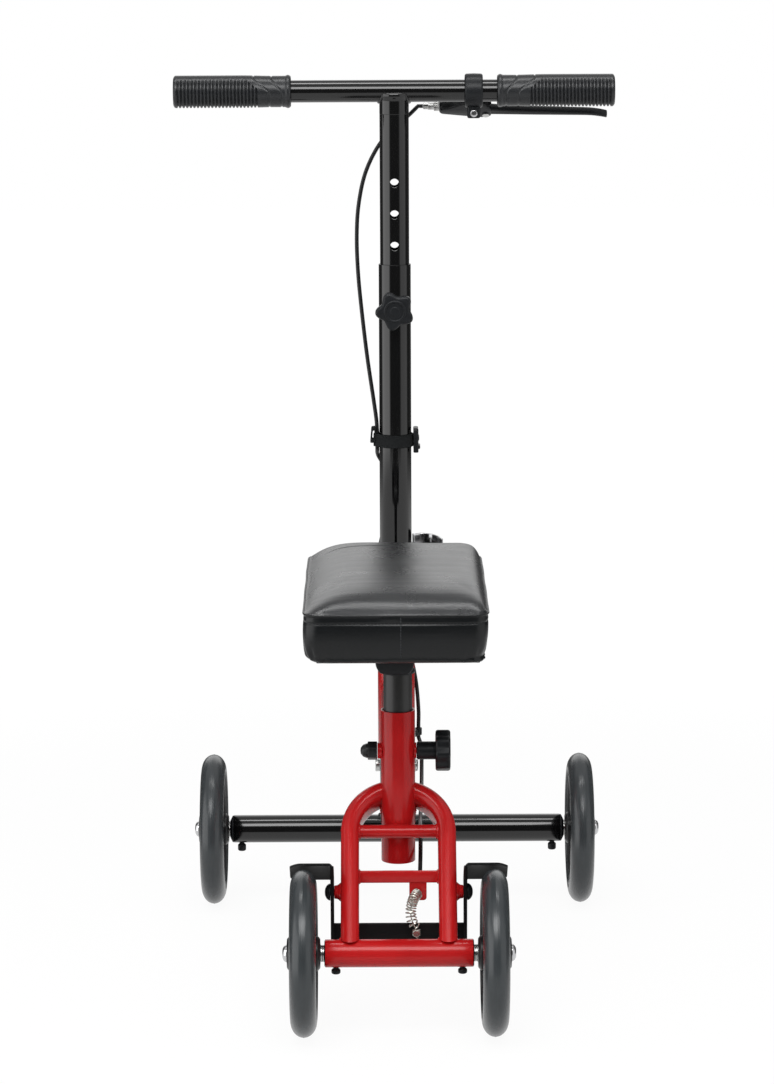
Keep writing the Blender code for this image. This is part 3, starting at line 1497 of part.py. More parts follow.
def make_cable_clip():
    """A clip with a screw that holds the cable at the right of the head tube."""
    centre_x = head_tube_radius + cable_radius + clip_wall + 2 * gap
    inner = circle(cable_radius + gap, coarse)
    outer = circle(cable_radius + gap + clip_wall, coarse)
    clip = plate("cable_clip", [outer, inner], clip_width, (centre_x, front_y, clip_z))
    foot_in = head_tube_radius + gap
    foot_y = front_y - cable_radius - clip_wall
    foot = block("foot", (foot_in + 0.0002, foot_y - 0.011, clip_z - clip_width / 2 + 0.0005),
                 (foot_in + 0.0020, foot_y + 0.001, clip_z + clip_width / 2 - 0.0005))
    join(clip, foot)
    screw_y = foot_y - 0.006
    join(clip, rod("clip_screw", (foot_in + 0.001, screw_y, clip_z), (foot_in + 0.0042, screw_y, clip_z),
                   clip_screw_radius, small))
    return dress(clip, black_plastic), centre_x


def make_cable(upper_end, lower_end, clip_x):
    """The brake cable's housing in three runs: adjuster to strap, strap to clip, clip to ferrule."""
    mid = front_y
    strap_mid = strap_bottom + strap_height / 2
    step = 0.0150
    straight = 0.0060
    upper = [
        upper_end,
        upper_end + Vector((-straight, 0.0, 0.0)),
        (0.0170, mid + 0.0310, 0.9990),
        (0.0, mid + 0.0285, 0.9840),
        (-0.0200, mid + 0.0260, 0.9620),
        (-0.0360, mid + 0.0240, 0.9290),
        (-0.0445, mid + 0.0220, 0.8900),
        (-0.0470, mid + 0.0200, 0.8500),
        (-0.0455, mid + 0.0170, 0.8050),
        (-0.0410, mid + 0.0130, 0.7560),
        (-0.0345, mid + 0.0080, 0.7000),
        (-0.0270, mid + 0.0030, 0.6480),
        (-cable_x - 0.0010, mid, strap_mid + 0.0260),
        (-cable_x, mid, strap_mid + 0.0110),
        (-cable_x, mid, strap_mid + gap / 2),
    ]
    middle = [
        (-cable_x, mid, strap_mid - gap / 2),
        (-cable_x, mid, strap_mid - 0.0110),
        (-0.0220, mid + 0.0110, 0.5770),
        (-0.0140, mid + 0.0210, 0.5600),
        (-0.0080, mid + 0.0235, 0.5350),
        (-0.0095, mid + 0.0230, 0.5050),
        (-0.0150, mid + 0.0240, 0.4800),
        (-0.0200, mid + 0.0240, 0.4550),
        (-0.0200, mid + 0.0240, 0.4250),
        (-0.0120, mid + 0.0270, 0.3950),
        (0.0020, mid + 0.0290, 0.3650),
        (0.0150, mid + 0.0250, 0.3300),
        (0.0245, mid + 0.0150, 0.2880),
        (clip_x, mid + 0.0030, 0.2520),
        (clip_x, mid, clip_z + 0.0080),
        (clip_x, mid, clip_z + gap / 2),
    ]
    lower = [
        (clip_x, mid, clip_z - gap / 2),
        (clip_x, mid, clip_z - 0.0080),
        (clip_x + 0.0035, mid - 0.0080, 0.2035),
        (clip_x + 0.0035, mid - 0.0350, 0.1870),
        (0.0305, mid - 0.1000, 0.1740),
        (0.0290, mid - 0.1800, 0.1730),
        (0.0275, mid - 0.2600, 0.1830),
        (0.0265, lower_end.y + 0.1239, 0.1960),
        (0.0262, lower_end.y + 0.0789, 0.1930),
        (0.0258, lower_end.y + 0.0509, 0.1790),
        (0.0250, lower_end.y + 0.0289, 0.1610),
        (0.0240, lower_end.y + 0.0139, 0.1495),
        lower_end + Vector((0.0, straight, 0.0)),
        lower_end,
    ]
    runs = []
    for name, knots in (("cable_upper", upper), ("cable_middle", middle), ("cable_lower", lower)):
        route = [knots[0], *smooth_route(knots[1:-1], step), knots[-1]]
        run = wire(name, route, cable_radius, 2)
        runs.append(dress(run, black_plastic))
    return runs


def build():
    """Makes every piece and hangs the moving ones on their axes."""
    frame = make_frame()
    cups = make_head_cups()
    steering_axis = axis_empty("steering_axis", (0, front_y, axle_z))
    fold_axis = axis_empty("fold_axis", (0, front_y, fold_pin_z), steering_axis)
    bar_slide = axis_empty("bar_slide", (0, front_y, star_z), fold_axis)
    seat_slide = axis_empty("seat_slide", (0, seat_y, clamp_z))
    brake_axis = axis_empty("brake_axis", (0, brake_pivot_y, brake_pivot_z))
    lever_axis = axis_empty("brake_lever_axis", in_lever_plane(pivot_x, pivot_offset), bar_slide)
    star_axis = axis_empty("star_knob_axis", (0, front_y - column_radius, star_z), fold_axis)
    knob_axis = axis_empty("seat_knob_axis", (seat_tube_radius, seat_y, clamp_z))

    still = [frame, *cups]
    for prefix, side in (("rear_left", -1), ("rear_right", 1)):
        turning, fixed = make_rear_wheel(prefix, side)
        attach(turning, axis_empty(prefix + "_axis", (side * rear_wheel_x, rear_y, axle_z)))
        still += fixed
    for prefix, side in (("front_left", -1), ("front_right", 1)):
        turning, fixed = make_front_wheel(prefix, side)
        attach(turning, axis_empty(prefix + "_axis", (side * front_wheel_x, front_y, axle_z), steering_axis))
        attach(fixed, steering_axis)

    attach(make_steering(), steering_axis)
    attach(make_column(), fold_axis)
    attach([make_star_knob()], star_axis)
    perch, lever, upper_end = make_brake_lever()
    grips = [make_grip("grip_left", -1), make_grip("grip_right", 1)]
    attach([make_handlebar(), *grips, *perch], bar_slide)
    attach([lever], lever_axis)
    attach(make_seat(), seat_slide)
    knob, nut = make_seat_clamp()
    attach([knob], knob_axis)
    bracket, pivots = make_brake()
    ferrule, anchor, inner, spring, lower_end = make_brake_pull()
    attach([bracket, anchor], brake_axis)
    clip, clip_x = make_cable_clip()
    upper, middle, lower = make_cable(upper_end, lower_end, clip_x)
    attach([upper, middle], fold_axis)
    still += [nut, *pivots, ferrule, inner, spring, clip, lower]
    root = axis_empty("ground", (0, 0, 0))
    attach([*still, steering_axis, seat_slide, brake_axis, knob_axis], root)
    print("brake lever pivot", [round(value, 5) for value in in_lever_plane(pivot_x, pivot_offset)])
    print("brake pivot", round(brake_pivot_y, 5), round(brake_pivot_z, 5))
    count = 0
    bpy.context.view_layer.update()
    for made in parts.objects:
        made.data.calc_loop_triangles()
        count += len(made.data.loop_triangles)
    print("pieces", len(parts.objects), "triangles", count)


build()
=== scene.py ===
# %% [markdown]
# # A steerable knee walker
# A knee walker carries a bent leg on a pad while the other foot pushes. This lesson dresses
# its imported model, which is the frame that everything is hung on: each finished piece rides
# on one of the frame's bodies, so it moves with the joints of the real walker.

# %% The frame
import json
from math import asin, cos, exp, hypot, pi, radians, sin, tan

import bmesh
import bpy
from mathutils import Matrix, Vector, noise


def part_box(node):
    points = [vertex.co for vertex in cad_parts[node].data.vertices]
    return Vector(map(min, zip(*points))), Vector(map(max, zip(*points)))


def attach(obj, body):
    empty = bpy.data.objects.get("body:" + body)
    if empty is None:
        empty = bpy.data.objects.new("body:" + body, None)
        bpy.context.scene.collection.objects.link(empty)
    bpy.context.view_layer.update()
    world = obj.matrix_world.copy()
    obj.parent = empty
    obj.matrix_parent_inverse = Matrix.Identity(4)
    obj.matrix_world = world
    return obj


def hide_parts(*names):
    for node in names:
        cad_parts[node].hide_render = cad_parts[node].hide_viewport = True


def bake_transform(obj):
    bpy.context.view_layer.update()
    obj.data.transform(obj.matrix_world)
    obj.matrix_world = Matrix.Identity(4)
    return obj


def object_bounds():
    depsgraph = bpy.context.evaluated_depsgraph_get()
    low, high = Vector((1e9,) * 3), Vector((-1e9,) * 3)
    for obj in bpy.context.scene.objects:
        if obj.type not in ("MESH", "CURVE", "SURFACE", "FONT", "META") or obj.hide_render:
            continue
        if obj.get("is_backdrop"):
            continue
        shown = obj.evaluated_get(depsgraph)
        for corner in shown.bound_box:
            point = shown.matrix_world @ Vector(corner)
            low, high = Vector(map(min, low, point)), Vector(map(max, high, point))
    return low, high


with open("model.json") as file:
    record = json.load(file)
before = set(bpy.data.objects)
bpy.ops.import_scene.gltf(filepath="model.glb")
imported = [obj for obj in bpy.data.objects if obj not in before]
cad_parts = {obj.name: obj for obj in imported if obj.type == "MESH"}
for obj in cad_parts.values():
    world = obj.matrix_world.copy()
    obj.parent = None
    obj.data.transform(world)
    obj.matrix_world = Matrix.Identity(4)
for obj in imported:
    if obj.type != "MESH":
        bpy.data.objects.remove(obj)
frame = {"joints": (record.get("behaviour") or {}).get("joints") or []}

cad_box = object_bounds()

# %% [markdown]
# The frame says where everything is. These few helpers read a node's box or a joint's place,
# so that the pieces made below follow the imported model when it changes. The last one puts new
# data into the scene.

# %% Reading places from the frame
def lowest(node):
    """A node's lowest corner."""
    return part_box(node)[0]


def highest(node):
    """A node's highest corner."""
    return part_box(node)[1]


def middle(node):
    """The middle of a node's box."""
    return (lowest(node) + highest(node)) / 2


def on_axis(node):
    """The middle of a node's box, moved sideways to the middle plane of the walker."""
    return Vector((0, *middle(node).yz))


def joint_place(name):
    """The point that a joint turns about or slides from."""
    return Vector(next(joint["pos_m"] for joint in frame["joints"] if joint["name"] == name))


def in_scene(name, data, matrix=None):
    """A new object for some data, linked into the scene."""
    made = bpy.data.objects.new(name, data)
    bpy.context.scene.collection.objects.link(made)
    if matrix:
        made.matrix_world = matrix
    return made


rear_axle = on_axis("rear_left_tyre")
front_axle = on_axis("front_left_tyre")
wheel_radius = rear_axle.z
column_y = front_axle.y
seat_y = joint_place("seat_height").y
bar_z = middle("grip_left").z
X = Vector((1, 0, 0))
Y = Vector((0, 1, 0))
Z = Vector((0, 0, 1))
hands = ((-1, "left"), (1, "right"))
seat_foot = Vector((0, seat_y, 0))
column_foot = Vector((0, column_y, 0))
print("wheelbase", round(front_axle.y - rear_axle.y, 4), "bar height", round(bar_z, 4))

# %% [markdown]
# ## The camera
# The photograph was taken from behind, a little above the bar, through a long lens. Its place
# was found by fitting both axles, all eight tyre edges and the bar, and only the position,
# three angles and the focal length in pixels are kept here.

# %% Camera
def look(place, yaw, pitch, roll, focal_pixels, picture_height):
    """A camera from its place and its turns, with the field of view of the photograph."""
    ahead = Vector((sin(yaw) * cos(pitch), cos(yaw) * cos(pitch), -sin(pitch)))
    level = Vector((cos(yaw), -sin(yaw), 0))
    above = level.cross(ahead)
    across = cos(roll) * level + sin(roll) * above
    upright = cos(roll) * above - sin(roll) * level
    data = bpy.data.cameras.new("camera")
    data.sensor_fit = "VERTICAL"
    data.sensor_height = 24
    data.lens = data.sensor_height * focal_pixels / picture_height
    data.clip_end = 50
    turn = Matrix((across, upright, -ahead)).transposed().to_4x4()
    return in_scene("camera", data, Matrix.Translation(place) @ turn)


camera = look(
    place=(-0.0184, -4.3725, 1.3573),
    yaw=radians(0.091),
    pitch=radians(10.852),
    roll=radians(-0.25),
    focal_pixels=3755.8,
    picture_height=1084,
)
bpy.context.scene.camera = camera
print("lens", round(camera.data.lens, 1), "mm")

# %% [markdown]
# ## Finishes as expressions
# A finish is a small network of nodes. Writing it as arithmetic keeps it readable: one class
# wraps an output socket, and adding, subtracting or scaling it adds a Math node. A second class
# is the material itself, which knows how to add any node and how to feed its shader.

# %% Sockets that do arithmetic
class Signal:
    """An output socket that can be used in an expression."""

    def __init__(self, finish, socket):
        self.finish = finish
        self.socket = socket

    def combined(self, operation, first, second):
        return self.finish.add("ShaderNodeMath", {"operation": operation}, {0: first, 1: second})

    def __add__(self, other):
        return self.combined("ADD", self, other)

    __radd__ = __add__

    def __sub__(self, other):
        return self.combined("SUBTRACT", self, other)

    def __rsub__(self, other):
        return self.combined("SUBTRACT", other, self)

    def __mul__(self, other):
        return self.combined("MULTIPLY", self, other)

    __rmul__ = __mul__

    def between(self, low, high):
        """0 below low, 1 above high and a smooth step in between."""
        inputs = {"Value": self, "From Min": low, "From Max": high}
        return self.finish.add("ShaderNodeMapRange", {"interpolation_type": "SMOOTHSTEP"}, inputs)


class Finish:
    """A material with one Principled shader, whose constants sit on its own sockets."""

    def __init__(self, name, **constants):
        self.material = bpy.data.materials.new(name)
        self.material.use_nodes = True
        self.tree = self.material.node_tree
        self.shader = self.tree.nodes["Principled BSDF"]
        for socket, value in constants.items():
            self.shader.inputs[socket.replace("_", " ")].default_value = value

    def add(self, kind, settings=None, inputs=None, output=0):
        """Adds a node, with its settings first and then the values or links of its sockets."""
        node = self.tree.nodes.new(kind)
        for key, value in (settings or {}).items():
            setattr(node, key, value)
        for key, value in (inputs or {}).items():
            if isinstance(value, Signal):
                self.tree.links.new(value.socket, node.inputs[key])
            else:
                node.inputs[key].default_value = value
        return Signal(self, node.outputs[output])

    def feed(self, socket, signal):
        """Links a signal into the shader."""
        self.tree.links.new(signal.socket, self.shader.inputs[socket])

    def place(self):
        """The point on the piece, in metres."""
        return self.add("ShaderNodeTexCoord", output="Object")

    def axis(self, point, name):
        """One coordinate of a point."""
        return self.add("ShaderNodeSeparateXYZ", None, {0: point}, name)

    def stretched(self, point, scale):
        """The point with its axes scaled apart, so that noise on it runs into streaks."""
        return self.add("ShaderNodeMapping", None, {"Vector": point, "Scale": scale})

    def grain(self, point, scale, detail=3.0, roughness=0.55):
        """Noise from 0 to 1."""
        inputs = {"Vector": point, "Scale": scale, "Detail": detail, "Roughness": roughness}
        return self.add("ShaderNodeTexNoise", None, inputs)

    def cells(self, point, scale):
        """Distance to the edges of small cells, for leather grain."""
        settings = {"feature": "DISTANCE_TO_EDGE"}
        return self.add("ShaderNodeTexVoronoi", settings, {"Vector": point, "Scale": scale}, "Distance")

    def blend(self, share, first, second):
        """A mix of two colours."""
        node = self.tree.nodes.new("ShaderNodeMix")
        node.data_type = "RGBA"
        self.tree.links.new(share.socket, node.inputs[0])
        node.inputs[6].default_value = (*first, 1)
        node.inputs[7].default_value = (*second, 1)
        return Signal(self, node.outputs[2])

    def relief(self, height, distance, strength=1.0):
        """Turns a height signal into the shader's normal. Distance is the real depth in metres."""
        inputs = {"Height": height, "Distance": distance, "Strength": strength}
        self.feed("Normal", self.add("ShaderNodeBump", None, inputs))


def tinted(colour, share):
    """A colour made darker or lighter by a share."""
    return tuple(min(1.0, channel * share) for channel in colour)


# %% [markdown]
# ## Paints
# The frame is baked gloss enamel: strong red on the rear frame and black on the tubes. Enamel
# shows a faint orange-peel relief that softens the edges of its reflections, and a thin clear
# top. Both paints come from one function, because only their colour differs.

# %% Red and black enamel
def enamel(name, colour, roughness, peel, shine):
    """Gloss paint with a faint orange peel and a clear coat."""
    paint = Finish(name, Base_Color=(*colour, 1), Roughness=roughness, Specular_IOR_Level=shine,
                   Coat_Weight=0.12, Coat_Roughness=0.05)
    point = paint.place()
    cloud = paint.grain(point, 18.0)
    paint.feed("Base Color", paint.blend(cloud.between(0.3, 0.7), tinted(colour, 0.93), tinted(colour, 1.07)))
    paint.feed("Roughness", paint.grain(point, 120.0) * 0.05 + (roughness - 0.025))
    paint.relief(paint.grain(point, 420.0, 1.0), 0.00004, peel)
    return paint.material


red_enamel = enamel("red_enamel", (0.44, 0.0095, 0.0105), 0.2, 0.2, 0.2)
black_enamel = enamel("black_enamel", (0.0025, 0.0025, 0.0026), 0.1, 0.12, 0.52)
post_black = enamel("post_black", (0.0105, 0.0103, 0.01), 0.46, 0.2, 0.5)
print("paints", red_enamel.name, black_enamel.name)

# %% [markdown]
# ## Rubber and plastic
# The tyres are solid grey-black polyurethane with a soft shine, the grips are duller rubber,
# and the knobs and hubs are moulded plastic. The differences are in the roughness, in how
# large the mould's grain is, and in the dust that dulls the shine in patches.

# %% Moulded finishes
def moulded(name, colour, roughness, grain_size, depth, patchiness=0.1, shine=0.3):
    """Plastic or rubber with the fine grain of its mould."""
    stuff = Finish(name, Base_Color=(*colour, 1), Roughness=roughness, Specular_IOR_Level=shine)
    point = stuff.place()
    patches = stuff.grain(point, 30.0, 4.0)
    stuff.feed("Base Color", stuff.blend(patches, tinted(colour, 0.88), tinted(colour, 1.14)))
    stuff.feed("Roughness", patches * patchiness + (roughness - patchiness / 2))
    stuff.relief(stuff.grain(point, 1 / grain_size, 2.0), depth, 0.5)
    return stuff.material


tyre_urethane = moulded("tyre_urethane", (0.034, 0.039, 0.042), 0.26, 0.0012, 0.00004, 0.06, 0.45)
grip_rubber = moulded("grip_rubber", (0.0125, 0.0135, 0.015), 0.32, 0.0016, 0.00001, 0.06, 0.4)
knob_plastic = moulded("knob_plastic", (0.011, 0.012, 0.0135), 0.34, 0.0008, 0.00003, 0.08, 0.18)
hub_plastic = moulded("hub_plastic", (0.01, 0.0105, 0.011), 0.3, 0.001, 0.00003)
housing_vinyl = moulded("housing_vinyl", (0.011, 0.0115, 0.012), 0.28, 0.001, 0.00002)
bracket_black = moulded("bracket_black", (0.005, 0.005, 0.0055), 0.55, 0.0008, 0.00004, 0.08, 0.15)

# %% [markdown]
# ## Bright metal
# Bolts, washers and the brake spring are zinc plated. Plating is a true metal, so its colour
# sits in the reflection, and fine brushing across it spreads the highlights.

# %% Zinc plate
def plated(name, colour, roughness, metal=1.0):
    """Bright plated steel with fine handling marks."""
    steel = Finish(name, Base_Color=(*colour, 1), Metallic=metal, Roughness=roughness)
    point = steel.place()
    marks = steel.grain(steel.stretched(point, (1.0, 1.0, 6.0)), 240.0, 4.0)
    steel.feed("Base Color", steel.blend(marks, tinted(colour, 0.85), tinted(colour, 1.1)))
    steel.feed("Roughness", marks * 0.22 + (roughness - 0.06))
    steel.relief(marks, 0.00002, 0.35)
    return steel.material


zinc = plated("zinc", (0.55, 0.55, 0.54), 0.2)
chrome = plated("chrome", (0.62, 0.62, 0.63), 0.1)
spring_wire = plated("spring_wire", (0.6, 0.59, 0.54), 0.16, 0.85)

# %% [markdown]
# ## Pad cover
# The pad is covered in black vinyl. Three scales of relief make it read as leather: small pebbled cells, fine
# creases that run across the pad where the cover was pulled tight, and slow waves of tension. The creases are
# noise stretched along X. The sides and the welt use a duller copy of the same vinyl, and its darker colour
# is painted shade.

# %% Vinyl
def upholstery(name, colour, creases, shine, gloss):
    """Black vinyl with a pebbled grain. Creases run across it where creases is above 0."""
    vinyl = Finish(name, Base_Color=(*colour, 1), Roughness=gloss, Specular_IOR_Level=shine)
    point = vinyl.place()
    pebbles = vinyl.cells(point, 620.0).between(0.0, 0.35)
    crease = vinyl.grain(vinyl.stretched(point, (5.0, 95.0, 95.0)), 1.0, 5.0, 0.62)
    waves = vinyl.grain(vinyl.stretched(point, (7.0, 26.0, 26.0)), 1.0, 2.0)
    worn = vinyl.grain(point, 22.0, 4.0)
    vinyl.feed("Base Color", vinyl.blend(worn, tinted(colour, 0.85), tinted(colour, 1.2)))
    vinyl.feed("Roughness", worn * 0.1 + (gloss - 0.05))
    vinyl.relief(pebbles * 0.12 + crease * creases + waves * creases * 0.6, 0.0007, 0.5)
    return vinyl.material


pad_vinyl = upholstery("pad_vinyl", (0.0085, 0.0095, 0.011), 0.95, 0.6, 0.28)
# The side copy has less shine and fewer creases, and its darker colour is painted shade on the pad's sides.
side_vinyl_painted_darker = upholstery("side_vinyl_painted_darker", (0.0028, 0.0036, 0.0042), 0.55, 0.32, 0.32)

# %% [markdown]
# ## Webbing, thread and board
# The cable strap is woven hook-and-loop tape: two crossed waves make its weave. The pad's
# base board is plain black-painted ply, and the stitches are dull black thread.

# %% Tape, thread and board
def woven(name, colour, pitch):
    """Tape woven in a plain weave of the given pitch."""
    tape = Finish(name, Base_Color=(*colour, 1), Roughness=0.85, Specular_IOR_Level=0.2)
    point = tape.place()
    fuzz = tape.grain(point, 900.0, 4.0)
    inputs = {"Vector": point, "Scale": 0.32 / pitch}
    across, around = (tape.add("ShaderNodeTexWave", {"bands_direction": run}, inputs, "Fac")
                      for run in ("Z", "DIAGONAL"))
    tape.feed("Base Color", tape.blend(fuzz, tinted(colour, 0.7), tinted(colour, 1.7)))
    tape.relief(across * around + fuzz * 0.6, 0.00035, 0.8)
    return tape.material


strap_tape = woven("strap_tape", (0.0052, 0.006, 0.0064), 0.0011)
thread = moulded("thread", (0.02, 0.022, 0.024), 0.6, 0.0004, 0.00005)
board_black = moulded("board_black", (0.012, 0.012, 0.012), 0.7, 0.002, 0.0001)
print("materials", len(bpy.data.materials))

# %% [markdown]
# ## Hanging a piece on the frame
# Every piece goes through one function. It gives the piece its finish, says which body it rides on and which
# plain nodes it stands for. The pieces of one weldment share all of that, so each weldment has a short form
# of it.


def dress(made, material, body, *nodes, sharp=35):
    """Finishes a piece and hangs it on its body. Edges steeper than sharp degrees stay crisp."""
    made.data.materials.clear()
    made.data.materials.append(material)
    made.data.shade_smooth()
    made.data.set_sharp_from_angle(angle=radians(sharp))
    if body:
        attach(made, body)
    if nodes:
        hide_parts(*nodes)
    return made


def weldment(material, body, node):
    """A short form of dress for the pieces of one weldment."""
    return lambda made, sharp=35: dress(made, material, body, node, sharp=sharp)


red_piece = weldment(red_enamel, "frame", "frame")
steering_piece = weldment(black_enamel, "steering", "steering_fork")
bar_piece = weldment(black_enamel, "handlebar", "handlebar")
brake_piece = weldment(bracket_black, "brake", "brake_bracket")


# %% [markdown]
# ## Shapes
# Most pieces are turned, bent or cut from plate, as on the real walker. A turned piece spins
# a profile, whose corners are first rounded because every real edge catches a line of light.
# A plate is a filled curve with a bevel, and a tube is a curve with a round section.

# %% Turned pieces
def eased(points, radius, steps=3, closed=False):
    """The points of a profile with each corner rounded off."""
    points = [Vector(point) for point in points]
    count = len(points)
    made = []
    for index, corner in enumerate(points):
        if not closed and index in (0, count - 1):
            made.append(corner)
            continue
        before = points[index - 1] - corner
        after = points[(index + 1) % count] - corner
        reach = min(radius, before.length * 0.45, after.length * 0.45)
        start = corner + before.normalized() * reach
        end = corner + after.normalized() * reach
        for step in range(steps + 1):
            t = step / steps
            made.append(start * (1 - t) ** 2 + corner * 2 * t * (1 - t) + end * t * t)
    return made


def to_scene(name, verts, faces):
    """A mesh object from its points and faces."""
    mesh = bpy.data.meshes.new(name)
    mesh.from_pydata([tuple(vert) for vert in verts], [], faces)
    mesh.validate()
    return in_scene(name, mesh)


def pointing(place, direction, axis="Z"):
    """A matrix that puts an object's own axis along direction."""
    turn = Vector(direction).normalized().to_track_quat(axis, "Y").to_matrix().to_4x4()
    return Matrix.Translation(place) @ turn


def grid_faces(rows, count):
    """The faces between rows of count points that close on themselves."""
    faces = []
    for row in range(rows):
        near, far = row * count, (row + 1) * count
        for index in range(count):
            after = (index + 1) % count
            faces.append((near + index, near + after, far + after, far + index))
    return faces


def turned(name, profile, place, direction, sides=64, ring=False):
    """A turned piece. The profile is (radius, height) pairs, from the top down its outer side."""
    verts = []
    faces = []
    rows = []
    for radius, height in profile:
        if radius < 1e-6:
            rows.append([len(verts)])
            verts.append((0, 0, height))
            continue
        rows.append(list(range(len(verts), len(verts) + sides)))
        for side in range(sides):
            angle = 2 * pi * side / sides
            verts.append((radius * cos(angle), radius * sin(angle), height))
    pairs = list(zip(rows, rows[1:])) + ([(rows[-1], rows[0])] if ring else [])
    for upper, lower in pairs:
        for side in range(sides):
            after = (side + 1) % sides
            corners = [upper[side % len(upper)], lower[side % len(lower)],
                       lower[after % len(lower)], upper[after % len(upper)]]
            faces.append(list(dict.fromkeys(corners)))
    made = to_scene(name, verts, faces)
    made.matrix_world = pointing(place, direction)
    return made


def lathe(name, profile, place, direction, sides, edge, steps=3):
    """A solid turned piece with eased corners."""
    return turned(name, eased(profile, edge, steps), place, direction, sides)


def turned_ring(name, profile, place, direction, sides, edge, steps=3):
    """A turned ring, whose profile closes on itself, with eased corners."""
    return turned(name, eased(profile, edge, steps, closed=True), place, direction, sides, ring=True)


def pipe(name, outer, wall, low, high, place, direction, sides, rim=0.0004):
    """An open tube with rounded rims."""
    inner = outer - wall
    profile = [(outer, high), (outer, low), (inner, low), (inner, high)]
    return turned_ring(name, profile, place, direction, sides, rim, 2)


def bar(name, start, end, radius, sides=48, edge=0.0004):
    """A solid round bar with eased ends."""
    start = Vector(start)
    end = Vector(end)
    length = (end - start).length
    profile = [(0, length), (radius, length), (radius, 0), (0, 0)]
    return lathe(name, profile, start, end - start, sides, edge, 2)


# %% [markdown]
# A filled curve makes plates with holes, and its bevel rounds their edges. The same curve
# object, given a round section, makes every bent tube, wire and weld bead.

# %% Plates, tubes and beads
same_point = 0.000002


def settled(made):
    """A mesh of what an object looks like with its modifiers or its curve settings."""
    bpy.context.view_layer.update()
    return bpy.data.meshes.new_from_object(made.evaluated_get(bpy.context.evaluated_depsgraph_get()))


def apply_all(made):
    """Applies every modifier."""
    mesh = settled(made)
    made.modifiers.clear()
    made.data = mesh
    return made


def face_outward(mesh, merge=0.0):
    """Turns all faces outward, after joining points that are nearer than merge."""
    bm = bmesh.new()
    bm.from_mesh(mesh)
    if merge:
        bmesh.ops.remove_doubles(bm, verts=bm.verts, dist=merge)
    bmesh.ops.recalc_face_normals(bm, faces=bm.faces)
    bm.to_mesh(mesh)
    bm.free()


def new_curve(name, dimensions, **settings):
    """Curve data with its settings."""
    curve = bpy.data.curves.new(name, "CURVE")
    curve.dimensions = dimensions
    for key, value in settings.items():
        setattr(curve, key, value)
    return curve


def from_curve(name, curve, matrix=None):
    """Turns curve data into a mesh object."""
    source = in_scene(name, curve)
    mesh = settled(source)
    bpy.data.objects.remove(source)
    bpy.data.curves.remove(curve)
    face_outward(mesh, same_point)
    return in_scene(name, mesh, matrix)


def add_line(curve, points, closed=False, sizes=None):
    """Adds a polyline, with a size for each point when sizes are given."""
    line = curve.splines.new("POLY")
    line.points.add(len(points) - 1)
    for index, (slot, point) in enumerate(zip(line.points, points)):
        slot.co = (*Vector(point).to_3d(), 1.0)
        if sizes:
            slot.radius = sizes[index]
    line.use_cyclic_u = closed


def flat_frame(place, across, along):
    """A matrix whose X runs across and whose Y runs along."""
    across = Vector(across).normalized()
    along = Vector(along).normalized()
    return Matrix.Translation(place) @ Matrix((across, along, across.cross(along))).transposed().to_4x4()


def plate(name, outlines, thickness, place, across, along, edge=0.0006):
    """A plate cut to the first outline, with the others as holes, and its edges rounded."""
    curve = new_curve(name, "2D", fill_mode="BOTH", extrude=thickness / 2 - edge, bevel_depth=edge,
                      bevel_resolution=2, offset=-edge)
    for outline in outlines:
        add_line(curve, outline, closed=True)
    return from_curve(name, curve, flat_frame(place, across, along))


def tube(name, points, radius, resolution=6, closed=False, sizes=None):
    """A round tube, wire or bead along points."""
    curve = new_curve(name, "3D", twist_mode="MINIMUM", bevel_depth=radius, bevel_resolution=resolution,
                      use_fill_caps=not closed)
    add_line(curve, points, closed, sizes)
    return from_curve(name, curve)


def arc(radius, steps, centre=(0.0, 0.0), start=0.0, sweep=2 * pi, closed=True):
    """Points on a circle, or on an arc with both its ends."""
    count = steps if closed else steps + 1
    angles = [start + sweep * step / steps for step in range(count)]
    return [(centre[0] + radius * cos(a), centre[1] + radius * sin(a)) for a in angles]


def joined(name, made, *others):
    """Gathers several meshes into one object that keeps the first one's place."""
    bpy.context.view_layer.update()
    home = made.matrix_world.inverted()
    bm = bmesh.new()
    bm.from_mesh(made.data)
    for other in others:
        mesh = other.data.copy()
        mesh.transform(home @ other.matrix_world)
        bm.from_mesh(mesh)
        bpy.data.objects.remove(other)
        bpy.data.meshes.remove(mesh)
    bm.to_mesh(made.data)
    bm.free()
    made.name = name
    return made


def carved(made, *tools):
    """Cuts the tools out of a piece."""
    for tool in tools:
        step = made.modifiers.new(tool.name, "BOOLEAN")
        step.operation = "DIFFERENCE"
        step.object = tool
        step.solver = "EXACT"
    apply_all(made)
    for tool in tools:
        bpy.data.objects.remove(tool)
    return made


def brick(name, low, high, edge, segments=3):
    """A box between two corners with its edges rounded."""
    bm = bmesh.new()
    bmesh.ops.create_cube(bm, size=1.0)
    bmesh.ops.scale(bm, vec=Vector(high) - Vector(low), verts=bm.verts)
    bmesh.ops.translate(bm, vec=(Vector(low) + Vector(high)) / 2, verts=bm.verts)
    bmesh.ops.bevel(bm, geom=bm.edges[:], offset=edge, segments=segments, affect="EDGES", profile=0.5)
    made = to_scene(name, [], [])
    bm.to_mesh(made.data)
    bm.free()
    return made


# %% [markdown]
# ## Weld beads
# Where two tubes are welded, a lumpy bead follows the line where their skins cross. That line
# is found by walking along the skin of one tube until it enters the other: each straight line
# of skin gives one point of the bead.

# %% Finding a weld line
def crossing(lines, distance):
    """Points where lines of skin pass through zero distance to the other body."""
    found = []
    for line in lines:
        for first, second in zip(line, line[1:]):
            near = distance(first)
            far = distance(second)
            if near > 0 >= far:
                found.append(first.lerp(second, near / (near - far)))
                break
    return found


